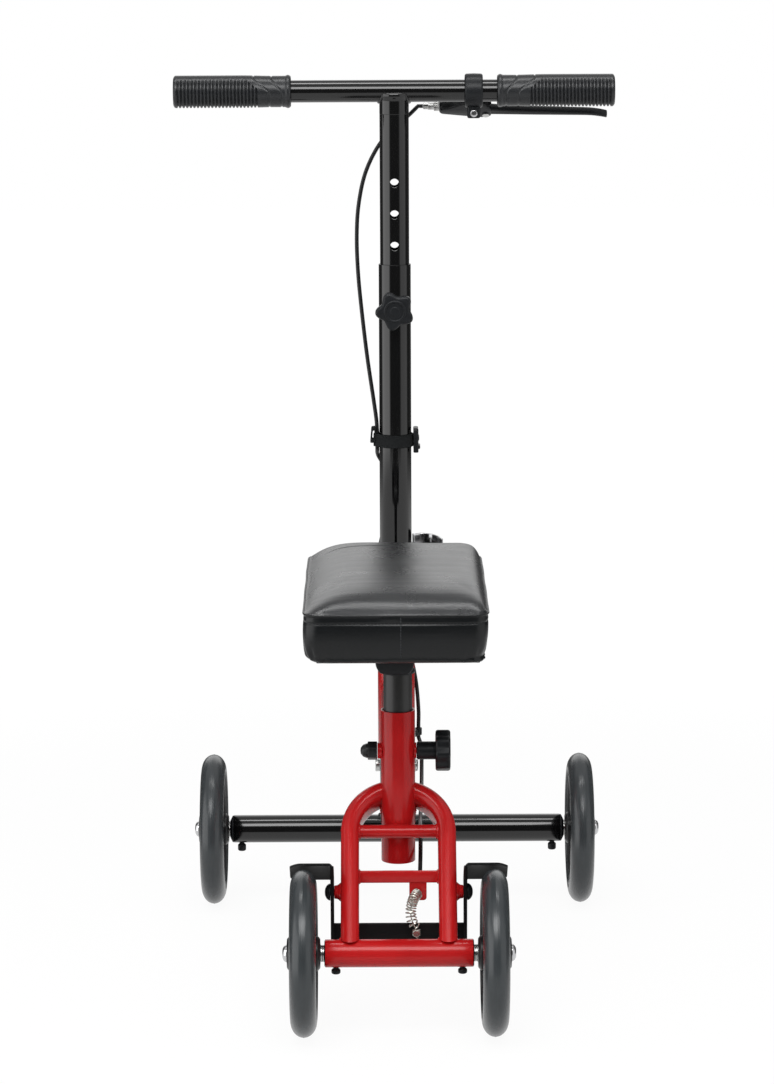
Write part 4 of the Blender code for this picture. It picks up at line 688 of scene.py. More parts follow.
def skin_lines(start, end, radius, count=48, steps=60):
    """Straight lines along the skin of a round tube."""
    start = Vector(start)
    end = Vector(end)
    side = (end - start).normalized().orthogonal().normalized()
    other = (end - start).normalized().cross(side)
    lines = []
    for index in range(count):
        angle = 2 * pi * index / count
        out = (side * cos(angle) + other * sin(angle)) * radius
        lines.append([start.lerp(end, step / steps) + out for step in range(steps + 1)])
    return lines


def from_axis(point, direction, radius):
    """A function that measures how far a place is outside a round tube."""
    origin = Vector(point)
    along = Vector(direction).normalized()

    def distance(place):
        offset = place - origin
        return (offset - along * offset.dot(along)).length - radius

    return distance


def weld(name, points, size, material, body, closed=True):
    """A bead of weld metal along points, whose size ripples as the torch moved."""
    dense = []
    for first, second in zip(points, points[1:] + points[:1] if closed else points[1:]):
        for step in range(3):
            dense.append(first.lerp(second, step / 3))
    sizes = []
    for index, point in enumerate(dense):
        lump = noise.noise(point * 260.0)
        sizes.append(1.0 + 0.16 * sin(index * 1.9) + 0.3 * lump)
    return dress(tube(name, dense, size, 3, closed=closed, sizes=sizes), material, body, sharp=80)


print("shape helpers ready")

# %% [markdown]
# ## Brake cable
# The brake cable is one sheathed cable, 5 mm thick, from the lever's adjuster to the tab on the rear frame.
# The strap and a clip hold it, so it is made as runs between what holds it, each through points listed along
# the real route. The run under the frame rides on the frame, and the other runs are not hung on a body.

# %% Cable route
cable_radius = 0.0025
gap = 0.0003
straight = 0.006


def smooth_route(knots, spacing):
    """Evenly spaced points on a smooth curve through the knots."""
    knots = [Vector(knot) for knot in knots]
    padded = [2 * knots[0] - knots[1], *knots, 2 * knots[-1] - knots[-2]]
    dense = []
    for before, start, end, after in zip(padded, padded[1:], padded[2:], padded[3:]):
        for step in range(20):
            t = step / 20
            dense.append(
                0.5 * (
                    2 * start
                    + (end - before) * t
                    + (2 * before - 5 * start + 4 * end - after) * t ** 2
                    + (3 * start - before - 3 * end + after) * t ** 3
                )
            )
    dense.append(knots[-1])
    travelled = [0.0]
    for first, second in zip(dense, dense[1:]):
        travelled.append(travelled[-1] + (second - first).length)
    count = max(2, round(travelled[-1] / spacing))
    points = []
    index = 0
    for step in range(count + 1):
        target = travelled[-1] * step / count
        while index < len(dense) - 2 and travelled[index + 1] < target:
            index += 1
        share = (target - travelled[index]) / (travelled[index + 1] - travelled[index])
        points.append(dense[index].lerp(dense[index + 1], share))
    return points


def route_length(points):
    """The length of a line of points."""
    return sum((second - first).length for first, second in zip(points, points[1:]))


mid = column_y
column_radius = highest("column_tube").x
strap_mid = (lowest("cable_upper").z + highest("cable_middle").z) / 2
clip_z = middle("cable_clip").z
clip_x = highest("head_cup_lower").x + cable_radius + 0.0015 + 2 * gap
cable_x = column_radius + cable_radius + gap
adjuster = middle("barrel_adjuster")
upper_end = Vector((lowest("barrel_adjuster").x - gap, adjuster.y, adjuster.z))
ferrule = middle("cable_ferrule")
lower_end = Vector((ferrule.x, highest("cable_ferrule").y + gap, ferrule.z))
print("cable beside the column at", round(cable_x, 4), "strap", round(strap_mid, 4))


# %% Cable runs
def cable_points(knots):
    """A smooth line through the knots with a straight piece at each end."""
    return [Vector(knots[0]), *smooth_route(knots[1:-1], 0.004), Vector(knots[-1])]


def cable(name, points, body, node):
    """One run of the sheathed cable."""
    return dress(tube(name, points, cable_radius, 4), housing_vinyl, body, node)


def declare(run, points):
    """Prints a run's name and the length of its points."""
    route_length(points)
    print(run.name, round(route_length(points), 3), "m")


upper_knots = [
    upper_end,
    upper_end + Vector((-straight, 0.0, 0.0)),
    (0.017, mid + 0.031, 0.999),
    (0.0, mid + 0.0285, 0.985),
    (-0.02, mid + 0.026, 0.962),
    (-0.036, mid + 0.024, 0.929),
    (-0.0445, mid + 0.022, 0.89),
    (-0.047, mid + 0.02, 0.85),
    (-0.0455, mid + 0.017, 0.805),
    (-0.041, mid + 0.013, 0.756),
    (-0.0345, mid + 0.008, 0.7),
    (-0.027, mid + 0.003, 0.648),
    (-cable_x - 0.001, mid, strap_mid + 0.026),
    (-cable_x, mid, strap_mid + 0.011),
    (-cable_x, mid, strap_mid),
]
fold_knots = [
    (-cable_x, mid, strap_mid),
    (-cable_x, mid, strap_mid - 0.011),
    (-0.022, mid + 0.011, 0.577),
    (-0.014, mid + 0.021, 0.56),
    (-0.008, mid + 0.0235, 0.535),
    (-0.0095, mid + 0.023, 0.505),
    (-0.015, mid + 0.024, 0.48),
    (-0.02, mid + 0.024, 0.455),
    (-0.02, mid + 0.024, 0.425),
    (-0.012, mid + 0.027, 0.395),
    (0.002, mid + 0.029, 0.365),
]
head_knots = [
    (0.015, mid + 0.025, 0.33),
    (0.0245, mid + 0.015, 0.288),
    (clip_x, mid + 0.003, 0.252),
    (clip_x, mid, clip_z + 0.008),
    (clip_x, mid, clip_z),
]
lower_knots = [
    (clip_x, mid, clip_z),
    (clip_x, mid, clip_z - 0.008),
    (clip_x + 0.0035, mid - 0.008, 0.2035),
    (clip_x + 0.0035, mid - 0.035, 0.187),
    (0.0305, mid - 0.1, 0.174),
    (0.029, mid - 0.18, 0.173),
    (0.0275, mid - 0.26, 0.183),
    (0.0265, lower_end.y + 0.1239, 0.196),
    (0.0262, lower_end.y + 0.0789, 0.193),
    (0.0258, lower_end.y + 0.0509, 0.179),
    (0.025, lower_end.y + 0.0289, 0.161),
    (0.024, lower_end.y + 0.0139, 0.1495),
    lower_end + Vector((0.0, straight, 0.0)),
    lower_end,
]

upper_points = cable_points(upper_knots)
upper_run = cable("cable_to_lever", upper_points, None, "cable_upper")
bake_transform(upper_run)
declare(upper_run, upper_points)

full_middle = cable_points(fold_knots + head_knots)
share_point = min(range(len(full_middle)), key=lambda index: abs(full_middle[index].z - 0.35))
past_fold = full_middle[:share_point + 1]
past_head = full_middle[share_point:]
for name, points, bodies, start, end in (
    ("cable_past_fold", past_fold, ("column", "steering"), 0.43, 0.362),
    ("cable_past_head", past_head, ("steering", "frame"), 0.34, 0.245),
):
    run = cable(name, points, None, "cable_middle")
    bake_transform(run)
    declare(run, points)

lower_points = cable_points(lower_knots)
declare(cable("cable_under_frame", lower_points, "frame", "cable_lower"), lower_points)

# %% [markdown]
# ## Wheels
# Each wheel is a solid balloon tyre moulded onto a plastic hub. The tyre is a turned ring: its
# section is an arc with the thin ridge that the mould's halves leave along the middle, and a
# rib above each bead. The hub has a barrel, five spokes cut as one plate, and a rim.

# %% Tyre
tyre_half_width = middle("rear_left_tyre").x - lowest("rear_left_tyre").x
hub_half_width = middle("rear_left_hub").x - lowest("rear_left_hub").x
bead_radius = 0.0733
rim_half_width = 0.0125
spoke_count = 5


def tyre_section():
    """The balloon section as (radius, height across the wheel)."""
    core = 0.0765
    crown = wheel_radius - 0.00035 - core
    root = 0.0044
    end = radians(128)
    points = []
    for step in range(65):
        angle = end * (1 - step / 32)
        reach = crown if cos(angle) > 0 else root
        radius = core + reach * cos(angle)
        across = (tyre_half_width - 0.0002) * sin(angle)
        if abs(across) < 0.0005:
            radius += 0.00035
        if 0.0128 < abs(across) < 0.0138 and radius < core:
            radius -= 0.0004
            across *= 0.975
        points.append((radius, across))
    return points + [(bead_radius, -rim_half_width + gap), (bead_radius, rim_half_width - gap)]


def make_tyre(prefix):
    """A tyre on its wheel's axis."""
    tyre = turned(prefix + "_tyre_ring", tyre_section(), middle(prefix + "_tyre"), X, 144, ring=True)
    return dress(tyre, tyre_urethane, prefix + "_wheel", prefix + "_tyre", sharp=50)


# %% Hub
def spoke_windows(inner, outer, spoke_half, steps=8):
    """The rounded openings between the spokes."""
    windows = []
    half_turn = pi / spoke_count
    for index in range(spoke_count):
        centre = 2 * pi * index / spoke_count + pi / 2 + half_turn
        half_inner = half_turn - asin(spoke_half / inner)
        half_outer = half_turn - asin(spoke_half / outer)
        inside = arc(inner, steps, (0, 0), centre + half_inner, -2 * half_inner, closed=False)
        outside = arc(outer, steps, (0, 0), centre - half_outer, 2 * half_outer, closed=False)
        windows.append(eased(inside + outside, 0.0035, 4, closed=True))
    return windows


def make_hub(prefix, side):
    """A moulded hub: barrel with a bearing, spokes with a rib and a rim with a lip."""
    place = middle(prefix + "_hub")
    rim_outer = bead_radius - gap
    rim_inner = rim_outer - 0.0075
    spokes = plate(prefix + "_hub_moulding",
                   [arc(rim_inner + 0.002, 80), *spoke_windows(0.0235, 0.0625, 0.0055)],
                   0.0135, place, Y, Z, 0.0012)
    ribs = plate("ribs", [arc(0.06, 80), *spoke_windows(0.0215, 0.0585, 0.0018)], 0.0195, place, Y, Z, 0.0008)
    barrel = turned_ring("barrel", [
        (0.0052, hub_half_width), (0.0165, hub_half_width), (0.02, hub_half_width - 0.003),
        (0.0195, 0.006), (0.0225, 0.0), (0.0195, -0.006), (0.02, 0.003 - hub_half_width),
        (0.0165, -hub_half_width), (0.0052, -hub_half_width),
    ], place, X, 80, 0.001)
    rim = turned_ring("rim", [
        (rim_outer, 0.011), (rim_outer + 0.0002, 0.0125), (rim_inner + 0.0015, 0.0125), (rim_inner, 0.0105),
        (rim_inner - 0.0012, 0.002), (rim_inner - 0.0012, -0.002), (rim_inner, -0.0105),
        (rim_inner + 0.0015, -0.0125), (rim_outer + 0.0002, -0.0125), (rim_outer, -0.011),
    ], place, X, 144, 0.0006, 2)
    hub = joined(prefix + "_hub_moulding", spokes, ribs, barrel, rim)
    dress(hub, hub_plastic, prefix + "_wheel", prefix + "_hub", sharp=40)
    for end in (-1, 1):
        face = place + X * end * hub_half_width
        race = turned_ring(prefix + "_bearing_" + ("outer" if end == side else "inner"), [
            (0.0055, 0.0001), (0.008, 0.0001), (0.0082, -0.0005), (0.0112, -0.0005), (0.0114, 0.0002),
            (0.013, 0.0002), (0.013, -0.003), (0.0055, -0.003),
        ], face, X * end, 64, 0.0003, 2)
        dress(race, zinc, prefix + "_wheel", prefix + "_hub")


# %% [markdown]
# A domed bolt with a hexagon recess holds each wheel, and bright washers fill the gap between
# the hub and the tube's plastic end plug. A set screw holds each plug from below.

# %% Wheel bolts, end plugs, washers and set screws
def make_axle_end(prefix, side, body, tube_radius, shoulder, flange):
    """The bolt, the washers, the plug and the set screw of one wheel."""
    centre = on_axis(prefix + "_bolt")
    low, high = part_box(prefix + "_bolt")
    tip = high.x if side > 0 else -low.x
    hub_face = abs(middle(prefix + "_hub").x) + hub_half_width
    inner_face = hub_face - 2 * hub_half_width
    face = shoulder + flange
    head = eased([
        (0.0, tip), (0.005, tip - 0.0002), (0.0082, tip - 0.0017), (0.0098, tip - 0.004),
        (0.01, hub_face + gap), (0.005, hub_face + gap), (0.005, shoulder - 0.008), (0.0, shoulder - 0.008),
    ], 0.0008, 4)
    bolt = turned(prefix + "_domed_bolt", head, centre, X * side, 64)
    recess = turned("recess",
                    [(0, tip + 0.002), (0.0036, tip + 0.002), (0.0036, tip - 0.003), (0, tip - 0.003)],
                    centre, X * side, 6)
    dress(carved(bolt, recess), chrome, body, prefix + "_bolt")

    top = inner_face - gap
    count = max(1, round((top - face) / 0.0021))
    thick = (top - face) / count
    profile = [(0.0053, top)]
    for index in range(count):
        near = top - thick * index
        profile += [(0.009, near), (0.0097, near - thick * 0.12), (0.0097, near - thick * 0.88)]
    profile += [(0.009, face), (0.0053, face)]
    washers = turned_ring(prefix + "_washers", profile, centre, X * side, 64, 0.0002, 2)
    dress(washers, zinc, body, prefix + "_plug")

    collar = tube_radius - 0.0004
    chamfer = min(0.0032, flange * 0.68)
    bore = collar - 0.0024
    plug = turned_ring(prefix + "_end_plug", [
        (0.0053, face), (collar - 2 * chamfer, face), (collar, face - chamfer), (collar, shoulder + gap),
        (bore, shoulder + gap), (bore, shoulder - 0.008), (0.0053, shoulder - 0.008),
    ], centre, X * side, 72, 0.0006)
    dress(plug, knob_plastic, body, prefix + "_plug")

    screw_place = Vector((middle(prefix + "_set_screw").x, *centre.yz))
    bottom = lowest(prefix + "_set_screw").z - centre.z
    screw = lathe(prefix + "_grub_screw", [
        (0.0, -tube_radius + 0.003), (0.0029, -tube_radius + 0.003), (0.0029, -tube_radius - 0.0012),
        (0.0052, -tube_radius - 0.0034), (0.0052, bottom + 0.0012), (0.004, bottom), (0.0, bottom),
    ], screw_place, Z, 40, 0.0006, 2)
    slot = brick("slot", (-0.006, -0.0006, bottom - 0.001), (0.006, 0.0006, bottom + 0.0012), 0.0002, 1)
    slot.matrix_world = Matrix.Translation(screw_place)
    dress(carved(screw, slot), knob_plastic, body, prefix + "_set_screw")


rear_axle_half = highest("frame").x
front_axle_half = highest("steering_fork").x
rear_tube_radius = 0.0159
front_tube_radius = 0.01745
frame_wall = 0.0025
for prefix, side, body, *sizes in (
    ("rear_left", -1, "frame", rear_tube_radius, rear_axle_half, 0.001),
    ("rear_right", 1, "frame", rear_tube_radius, rear_axle_half, 0.001),
    ("front_left", -1, "steering", front_tube_radius, front_axle_half, 0.0047),
    ("front_right", 1, "steering", front_tube_radius, front_axle_half, 0.0047),
):
    make_tyre(prefix)
    make_hub(prefix, side)
    make_axle_end(prefix, side, body, *sizes)
print("wheels at", round(middle("rear_right_tyre").x, 4), round(middle("front_right_tyre").x, 4))

# %% [markdown]
# ## Rear frame
# The rear frame is a flat-oval tube bent into a U. Its ends are notched to sit on the rear
# axle tube, which leaves a thin dark line above it, and a seat tube, a main beam and a head
# tube carry on forward. Every tube is made whole and passes into its neighbour, and weld beads
# cover the joints, as on the real frame.

# %% Oval U frame
leg_slope = radians(47)
leg_spacing = 0.112
leg_width = 0.021
leg_ledge = 0.0164
leg_depth = 0.04
arch_rise = 0.2067
u_frame = Matrix.Translation(rear_axle) @ Matrix.Rotation(leg_slope, 4, "X")


def oval(width, depth, steps):
    """A flat-oval outline with round ends."""
    radius = width / 2
    flat = depth / 2 - radius
    points = arc(radius, steps, (0.0, flat), 0.0, pi, closed=False)
    return points + arc(radius, steps, (0.0, -flat), pi, pi, closed=False)


def oval_sweep(name, path, width, depth, matrix):
    """A flat-oval tube along a flat path."""
    section = new_curve("section", "2D")
    add_line(section, oval(width, depth, 10), closed=True)
    holder = in_scene("section", section)
    curve = new_curve(name, "2D", bevel_mode="OBJECT", bevel_object=holder, fill_mode="NONE",
                      use_fill_caps=True)
    add_line(curve, path)
    made = from_curve(name, curve, matrix)
    bpy.data.objects.remove(holder)
    return made


bend = leg_spacing / 2
u_path = [(-bend, 0.0)] + arc(bend, 40, (0.0, arch_rise - bend), pi, -pi, closed=False) + [(bend, 0.0)]
u_tube = oval_sweep("u_frame_tube", u_path, leg_width, leg_depth, u_frame)
foot = brick("foot", (-0.1, rear_axle.y - 0.05, 0.0), (0.1, rear_axle.y, rear_axle.z + leg_ledge), 0.0002, 1)
red_piece(carved(u_tube, foot))

# %% [markdown]
# The axle, the cross tube and the seat, main and head tubes are round. The rims of the open
# tubes are rounded, because a cut and painted edge always is.

# %% Round tubes of the frame
seat_tube_radius = 0.0198
seat_tube_wall = 0.0028
seat_tube_low = 0.169
seat_tube_high = 0.349
head_radius = highest("head_cup_lower").x
cup_lip = 0.0033
head_low = lowest("head_cup_lower").z + cup_lip
head_high = highest("head_cup_upper").z - cup_lip
beam_radius = 0.01905
beam_rear = Vector((0, seat_y, 0.226))
beam_front = Vector((0, column_y, 0.283))
cross_radius = 0.0078
cross_y = seat_y - seat_tube_radius - cross_radius + 0.001
cross_z = (cross_y - rear_axle.y) * tan(leg_slope) + rear_axle.z + 0.005
inside = (leg_spacing - leg_width) / 2 + 0.001

red_piece(pipe("rear_axle_tube", rear_tube_radius, frame_wall, -rear_axle_half,
               rear_axle_half, rear_axle, X, 72))
red_piece(bar("cross_tube", (-inside, cross_y, cross_z), (inside, cross_y, cross_z), cross_radius))
red_piece(pipe("seat_tube", seat_tube_radius, seat_tube_wall, seat_tube_low, seat_tube_high,
               seat_foot, Z, 72, 0.0006))
red_piece(pipe("head_tube", head_radius, frame_wall, head_low, head_high, column_foot, Z, 80, 0.0008))
beam_line = (beam_front - beam_rear).normalized()
beam_start = beam_rear + beam_line * (seat_tube_radius - 0.001)
beam_end = beam_front - beam_line * (head_radius - 0.001)
red_piece(bar("main_beam", beam_start - beam_line * 0.004, beam_end + beam_line * 0.004, beam_radius, 72))

# %% [markdown]
# Between the legs a flat bar carries the tab that stops the brake cable's sheath. Small bosses
# on the legs take the brake's pivots, and two on the seat tube take the clamp.

# %% Crossbar, tab and bosses
crossbar_y = rear_axle.y + 0.0663
crossbar_z = rear_axle.z + (crossbar_y - rear_axle.y) * tan(leg_slope)
crossbar_thin = 0.0025
crossbar_tall = 0.007
boss_radius = 0.0095
boss_left_height = 0.004
boss_right_height = 0.0015
tab_x = ferrule.x
brake_pivot = on_axis("brake_pivot_left")
clamp_z = middle("seat_knob").z

red_piece(brick("crossbar", (-inside, crossbar_y - crossbar_thin, crossbar_z - crossbar_tall),
                (inside, crossbar_y + crossbar_thin, crossbar_z + crossbar_tall), 0.0012))
tab_top = crossbar_z - 0.006 - ferrule.z
tab_outline = eased([(-0.01, tab_top), (-0.01, -0.009), (0.01, -0.009), (0.01, tab_top)], 0.0042, 6)
tab_hole = arc(0.0016, 24)
red_piece(plate("cable_tab", [tab_outline, tab_hole], 0.003, (tab_x, crossbar_y, ferrule.z), X, Z, 0.0005))
for side, word in hands:
    red_piece(lathe("brake_boss_" + word, [
        (0.0, 0.074), (0.0075, 0.074), (0.0082, 0.07), (0.0112, leg_spacing / 2 + leg_width / 2),
        (0.0112, leg_spacing / 2), (0.0, leg_spacing / 2),
    ], brake_pivot, X * side, 56, 0.0008))
for side, word, height, edge in ((-1, "left", boss_left_height, 0.0008),
                                 (1, "right", boss_right_height, 0.0006)):
    red_piece(bar("clamp_boss_" + word, (side * 0.0185, seat_y, clamp_z),
                  (side * (seat_tube_radius + height), seat_y, clamp_z), boss_radius, 56, edge))


# %% Weld beads of the frame
def leg_skin(side):
    """Lines along the skin of one straight leg, from the bend down to the axle."""
    lines = []
    for x, z in oval(leg_width, leg_depth, 14):
        lines.append([u_frame @ Vector((side * bend + x, 0.06 - 0.06 * step / 60, z)) for step in range(61)])
    return lines


def red_bead(name, points, size=0.0022, closed=True):
    """A painted weld bead on the frame."""
    return weld(name, points, size, red_enamel, "frame", closed)


for side, word in hands:
    touching = crossing(leg_skin(side), from_axis(rear_axle, X, rear_tube_radius))
    red_bead("weld_leg_" + word, [point for point in touching if point.y > rear_axle.y + 0.001], closed=False)
red_bead("weld_beam_rear", crossing(
    skin_lines(beam_rear + beam_line * 0.1, beam_rear, beam_radius),
    from_axis(seat_foot, Z, seat_tube_radius)))
red_bead("weld_beam_front", crossing(
    skin_lines(beam_front - beam_line * 0.1, beam_front, beam_radius),
    from_axis(column_foot, Z, head_radius)))
red_bead("weld_cross_tube", [
    Vector((x, cross_y + cross_radius * 0.75, cross_z + dz)) for x, dz in
    [(-0.01 + 0.002 * step, 0.0052) for step in range(11)]
    + [(0.01 - 0.002 * step, -0.0052) for step in range(11)]
], 0.0018)
for side, word in hands:
    red_bead("weld_cross_" + word, [
        Vector((side * (inside - 0.001), cross_y + y, cross_z + z)) for y, z in arc(cross_radius, 28)
    ], 0.0018)
    corners = [(-crossbar_thin, -crossbar_tall), (crossbar_thin, -crossbar_tall),
               (crossbar_thin, crossbar_tall), (-crossbar_thin, crossbar_tall)]
    outline = eased(corners, 0.0015, 4, closed=True)
    red_bead("weld_bar_" + word, [
        Vector((side * (inside - 0.001), crossbar_y + point.x, crossbar_z + point.y)) for point in outline
    ], 0.0014)

# %% [markdown]
# Two black bearing cups sit in the ends of the head tube. Each shows as a thin ring with a
# rolled edge, with a narrow gap to the tube.

# %% Head bearing cups
for name, away in (("head_cup_lower", -1), ("head_cup_upper", 1)):
    face = head_low if away < 0 else head_high
    cup = turned_ring(name + "_ring", [
        (head_radius - 0.001, cup_lip), (head_radius, 0.0016), (head_radius - 0.0004, gap),
        (head_radius - 0.003, gap), (head_radius - 0.0032, -0.007), (0.0158, -0.007), (0.0158, cup_lip),
    ], (0, column_y, face), Z * away, 80, 0.0005)
    dress(cup, hub_plastic, "frame", name)
print("head tube", round(head_low, 4), "to", round(head_high, 4))

# %% [markdown]
# ## Steering stem
# The black stem stands on the long front axle tube. Its upper part runs in the head tube and
# carries two ears for the fold pin. A bolt passes through the stem just above the axle.

# %% Steered tubes
stem_radius = 0.021
stem_top = lowest("head_cup_lower").z - gap
ear_half_gap = 0.01
ear_thickness = 0.006
ear_radius = 0.015
steerer_radius = 0.015
fold_pin = middle("fold_pin")
steer_collar_low = highest("head_cup_upper").z + gap
steer_collar_high = steer_collar_low + 0.012


steering_piece(pipe("front_axle_tube", front_tube_radius, frame_wall, -front_axle_half, front_axle_half,
                    front_axle, X, 72))
stem_foot = front_axle.z + front_tube_radius - 0.006
steering_piece(lathe("stem", [
    (0.0, stem_top - 0.001), (0.0152, stem_top - 0.001), (0.0152, stem_top), (stem_radius, stem_top),
    (stem_radius, stem_foot), (0.0, stem_foot),
], column_foot, Z, 80, 0.0008))
steering_piece(bar("steerer", (0, column_y, stem_top - 0.004), (0, column_y, steer_collar_high - 0.002),
                   steerer_radius, 56))
steering_piece(bar("steering_collar", (0, column_y, steer_collar_low), (0, column_y, steer_collar_high), 0.02,
                   72, 0.0012))
ear_foot = steer_collar_high - 0.004 - fold_pin.z
ear_outline = [(-ear_radius, ear_foot), (ear_radius, ear_foot)]
ear_outline += arc(ear_radius, 28, (0, 0), 0.0, pi, closed=False)
for side, word in hands:
    ear = plate("fold_ear_" + word, [ear_outline, arc(0.0054, 32)], ear_thickness,
                (side * (ear_half_gap + ear_thickness / 2), column_y, fold_pin.z), Y, Z, 0.001)
    steering_piece(ear)


stem_skin = skin_lines((0, column_y, front_axle.z + 0.04), (0, column_y, front_axle.z), stem_radius, 64)
stem_line = crossing(stem_skin, from_axis(front_axle, X, front_tube_radius))
weld("weld_stem", stem_line, 0.0024, black_enamel, "steering")

# %% [markdown]
# The stem's bolt shows a low round head with a hexagon socket at one side and a plain nut at
# the other. The fold pin is a short round pin with both ends headed over.

# %% Stem bolt and fold pin
fork_bolt_z = middle("fork_bolt").z
low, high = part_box("fork_bolt")
fork_bolt = lathe("stem_bolt", [
    (0.0, high.x - stem_radius), (0.0062, high.x - stem_radius), (0.0077, high.x - stem_radius - 0.0012),
    (0.0077, 0.003), (0.0087, 0.003), (0.0087, gap), (0.004, gap), (0.004, -0.006), (0.0, -0.006),
], (stem_radius, column_y, fork_bolt_z), X, 56, 0.0004)
socket = turned("socket", [(0, 0.01), (0.003, 0.01), (0.003, 0.0045), (0, 0.0045)],
                (stem_radius, column_y, fork_bolt_z), X, 6)
dress(carved(fork_bolt, socket), zinc, "steering", "fork_bolt")
low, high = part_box("fork_nut")
nut = plate("stem_nut", [eased(arc(0.008, 6, (0, 0), pi / 6), 0.0006, 2, closed=True), arc(0.0035, 24)],
            high.x - low.x, ((low.x + high.x) / 2, column_y, fork_bolt_z), Y, Z, 0.0007)
dress(nut, zinc, "steering", "fork_nut")
dress(bar("stem_bolt_end", (low.x + 0.0008, column_y, fork_bolt_z), (high.x, column_y, fork_bolt_z),
          0.0037, 32), zinc, "steering", "fork_bolt")
low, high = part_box("fold_pin")
half_pin = (high.x - low.x) / 2
pin = lathe("fold_pin_headed", [
    (0.0, half_pin), (0.006, half_pin), (0.008, half_pin - 0.0018), (0.008, half_pin - 0.0035),
    (0.0048, half_pin - 0.0035), (0.0048, 0.0035 - half_pin), (0.008, 0.0035 - half_pin),
    (0.008, 0.0018 - half_pin), (0.006, -half_pin), (0.0, -half_pin),
], fold_pin, X, 48, 0.0006)
dress(pin, zinc, "steering", "fold_pin")

# %% [markdown]
# ## Folding column
# The column is a black tube that clamps on a round stub. The stub ends in a tongue between the
# ears, so the column can fold back. A slit up the tube lets the clamp collar squeeze it.

# %% Tongue, column tube and slit
column_low = lowest("column_tube").z
column_high = highest("column_tube").z
column_wall = 0.0015
slit_half = 0.0015
slim_wall = 0.002
stub_radius = column_radius - column_wall - 0.00035
tongue_outline = arc(ear_radius, 28, (0, 0), pi, pi, closed=False)
tongue_outline += [(ear_radius, 0.023), (-ear_radius, 0.023)]
tongue = plate("tongue", [tongue_outline, arc(0.0055, 32)], 2 * ear_half_gap - 2 * gap, fold_pin, Y, Z, 0.001)
stub = bar("stub", (0, column_y, fold_pin.z + 0.022), (0, column_y, highest("fold_tongue").z), stub_radius,
           64, 0.001)
dress(joined("fold_tongue_stub", tongue, stub), black_enamel, "column", "fold_tongue")

column = pipe("column", column_radius, column_wall, column_low, column_high, column_foot, Z, 96, 0.0006)
slit = brick("slit", (-slit_half, column_y - 0.025, column_low - 0.01),
             (slit_half, column_y - 0.012, 0.479), 0.0003, 1)
dress(carved(column, slit), black_enamel, "column", "column_tube")
star_z = middle("star_knob").z
boss_face = column_y - column_radius - 0.0055
boss = lathe("star_boss", [
    (0.0, 0.0), (0.0075, 0.0), (0.0078, -0.003), (0.009, -0.0062), (0.0, -0.0062),
], (0, boss_face, star_z), -Y, 56, 0.0006)
dress(boss, black_enamel, "column", "column_tube")
print("column", round(column_low, 3), "to", round(column_high, 3))

# %% [markdown]
# The clamp collar is one open ring with two ears at the front. A cam lever pulls the ears
# together: its blade curls round to the right, where it shows beside the column.

# %% Clamp collar and quick lever
collar_low, collar_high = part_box("clamp_collar")
ring_in = column_radius + gap
ring_out = ring_in + 0.005
ear_out = 0.007
ear_reach = collar_high.y - column_y
opening_in = asin(slit_half / ring_in)
opening_out = asin(ear_out / ring_out)
collar_outline = arc(ring_in, 60, (0, 0), pi / 2 + opening_in, 2 * pi - 2 * opening_in, closed=False)
ear_line = [(slit_half, ring_in + 0.001), (slit_half, ear_reach), (ear_out, ear_reach), (ear_out, ring_out)]
collar_outline += eased(ear_line, 0.0015, 4)
collar_outline += arc(ring_out, 60, (0, 0), pi / 2 - opening_out, -2 * pi + 2 * opening_out, closed=False)
collar_outline += eased([(-x, y) for x, y in ear_line[::-1]], 0.0015, 4)
collar = plate("clamp_collar_ring", [collar_outline], collar_high.z - collar_low.z,
               (0, column_y, (collar_low.z + collar_high.z) / 2), X, Y, 0.001)
dress(collar, black_enamel, "column", "clamp_collar")

lever_pivot = joint_place("quick_lever_turn")
pin_x = lowest("quick_bolt").x
quick = bar("quick_pin", (pin_x + 0.002, *lever_pivot.yz), lever_pivot, 0.0028, 32)
barrel = bar("barrel", lever_pivot - Z * 0.0079, lever_pivot + Z * 0.0079, 0.004, 40, 0.0008)
quick_nut = plate("nut", [eased(arc(0.0064, 6), 0.0005, 2, closed=True)], 0.006,
                  (pin_x + 0.003, *lever_pivot.yz), Y, Z, 0.0007)
dress(joined("quick_pin", quick, barrel, quick_nut), zinc, "column", "quick_bolt")

blade_route = smooth_route([(x, y, 0) for x, y in (
    (0.006, 0.002), (0.018, 0.006), (0.03, 0.0), (0.038, -0.014), (0.0425, -0.032))], 0.0015)
left_edge = []
right_edge = []
for index, point in enumerate(blade_route):
    ahead = blade_route[min(index + 1, len(blade_route) - 1)] - blade_route[max(index - 1, 0)]
    side = Vector((-ahead.y, ahead.x, 0)).normalized()
    share = index / (len(blade_route) - 1)
    half = 0.0016 * (1.5 - 0.6 * share)
    left_edge.append((point + side * half).xy)
    right_edge.append((point - side * half).xy)
blade = plate("blade", [eased(right_edge + left_edge[::-1], 0.001, 2, closed=True)], 0.023,
              lever_pivot + Z * 0.0055, X, Y, 0.0011)
cheeks = [plate("cheek", [arc(0.0085, 48), arc(0.0046, 32)], 0.0036, lever_pivot + Z * rise, X, Y, 0.0006)
          for rise in (-0.005, 0.005)]
dress(joined("quick_lever_blade", blade, *cheeks), chrome, "quick_lever", "quick_lever")
print("quick lever pivots at", [round(value, 4) for value in lever_pivot])

# %% [markdown]
# ## Cable strap
# A short hook-and-loop strap ties the cable to the column. It is a thin band pulled round both,
# with a folded loop at the left and a small moulded slider at the right.

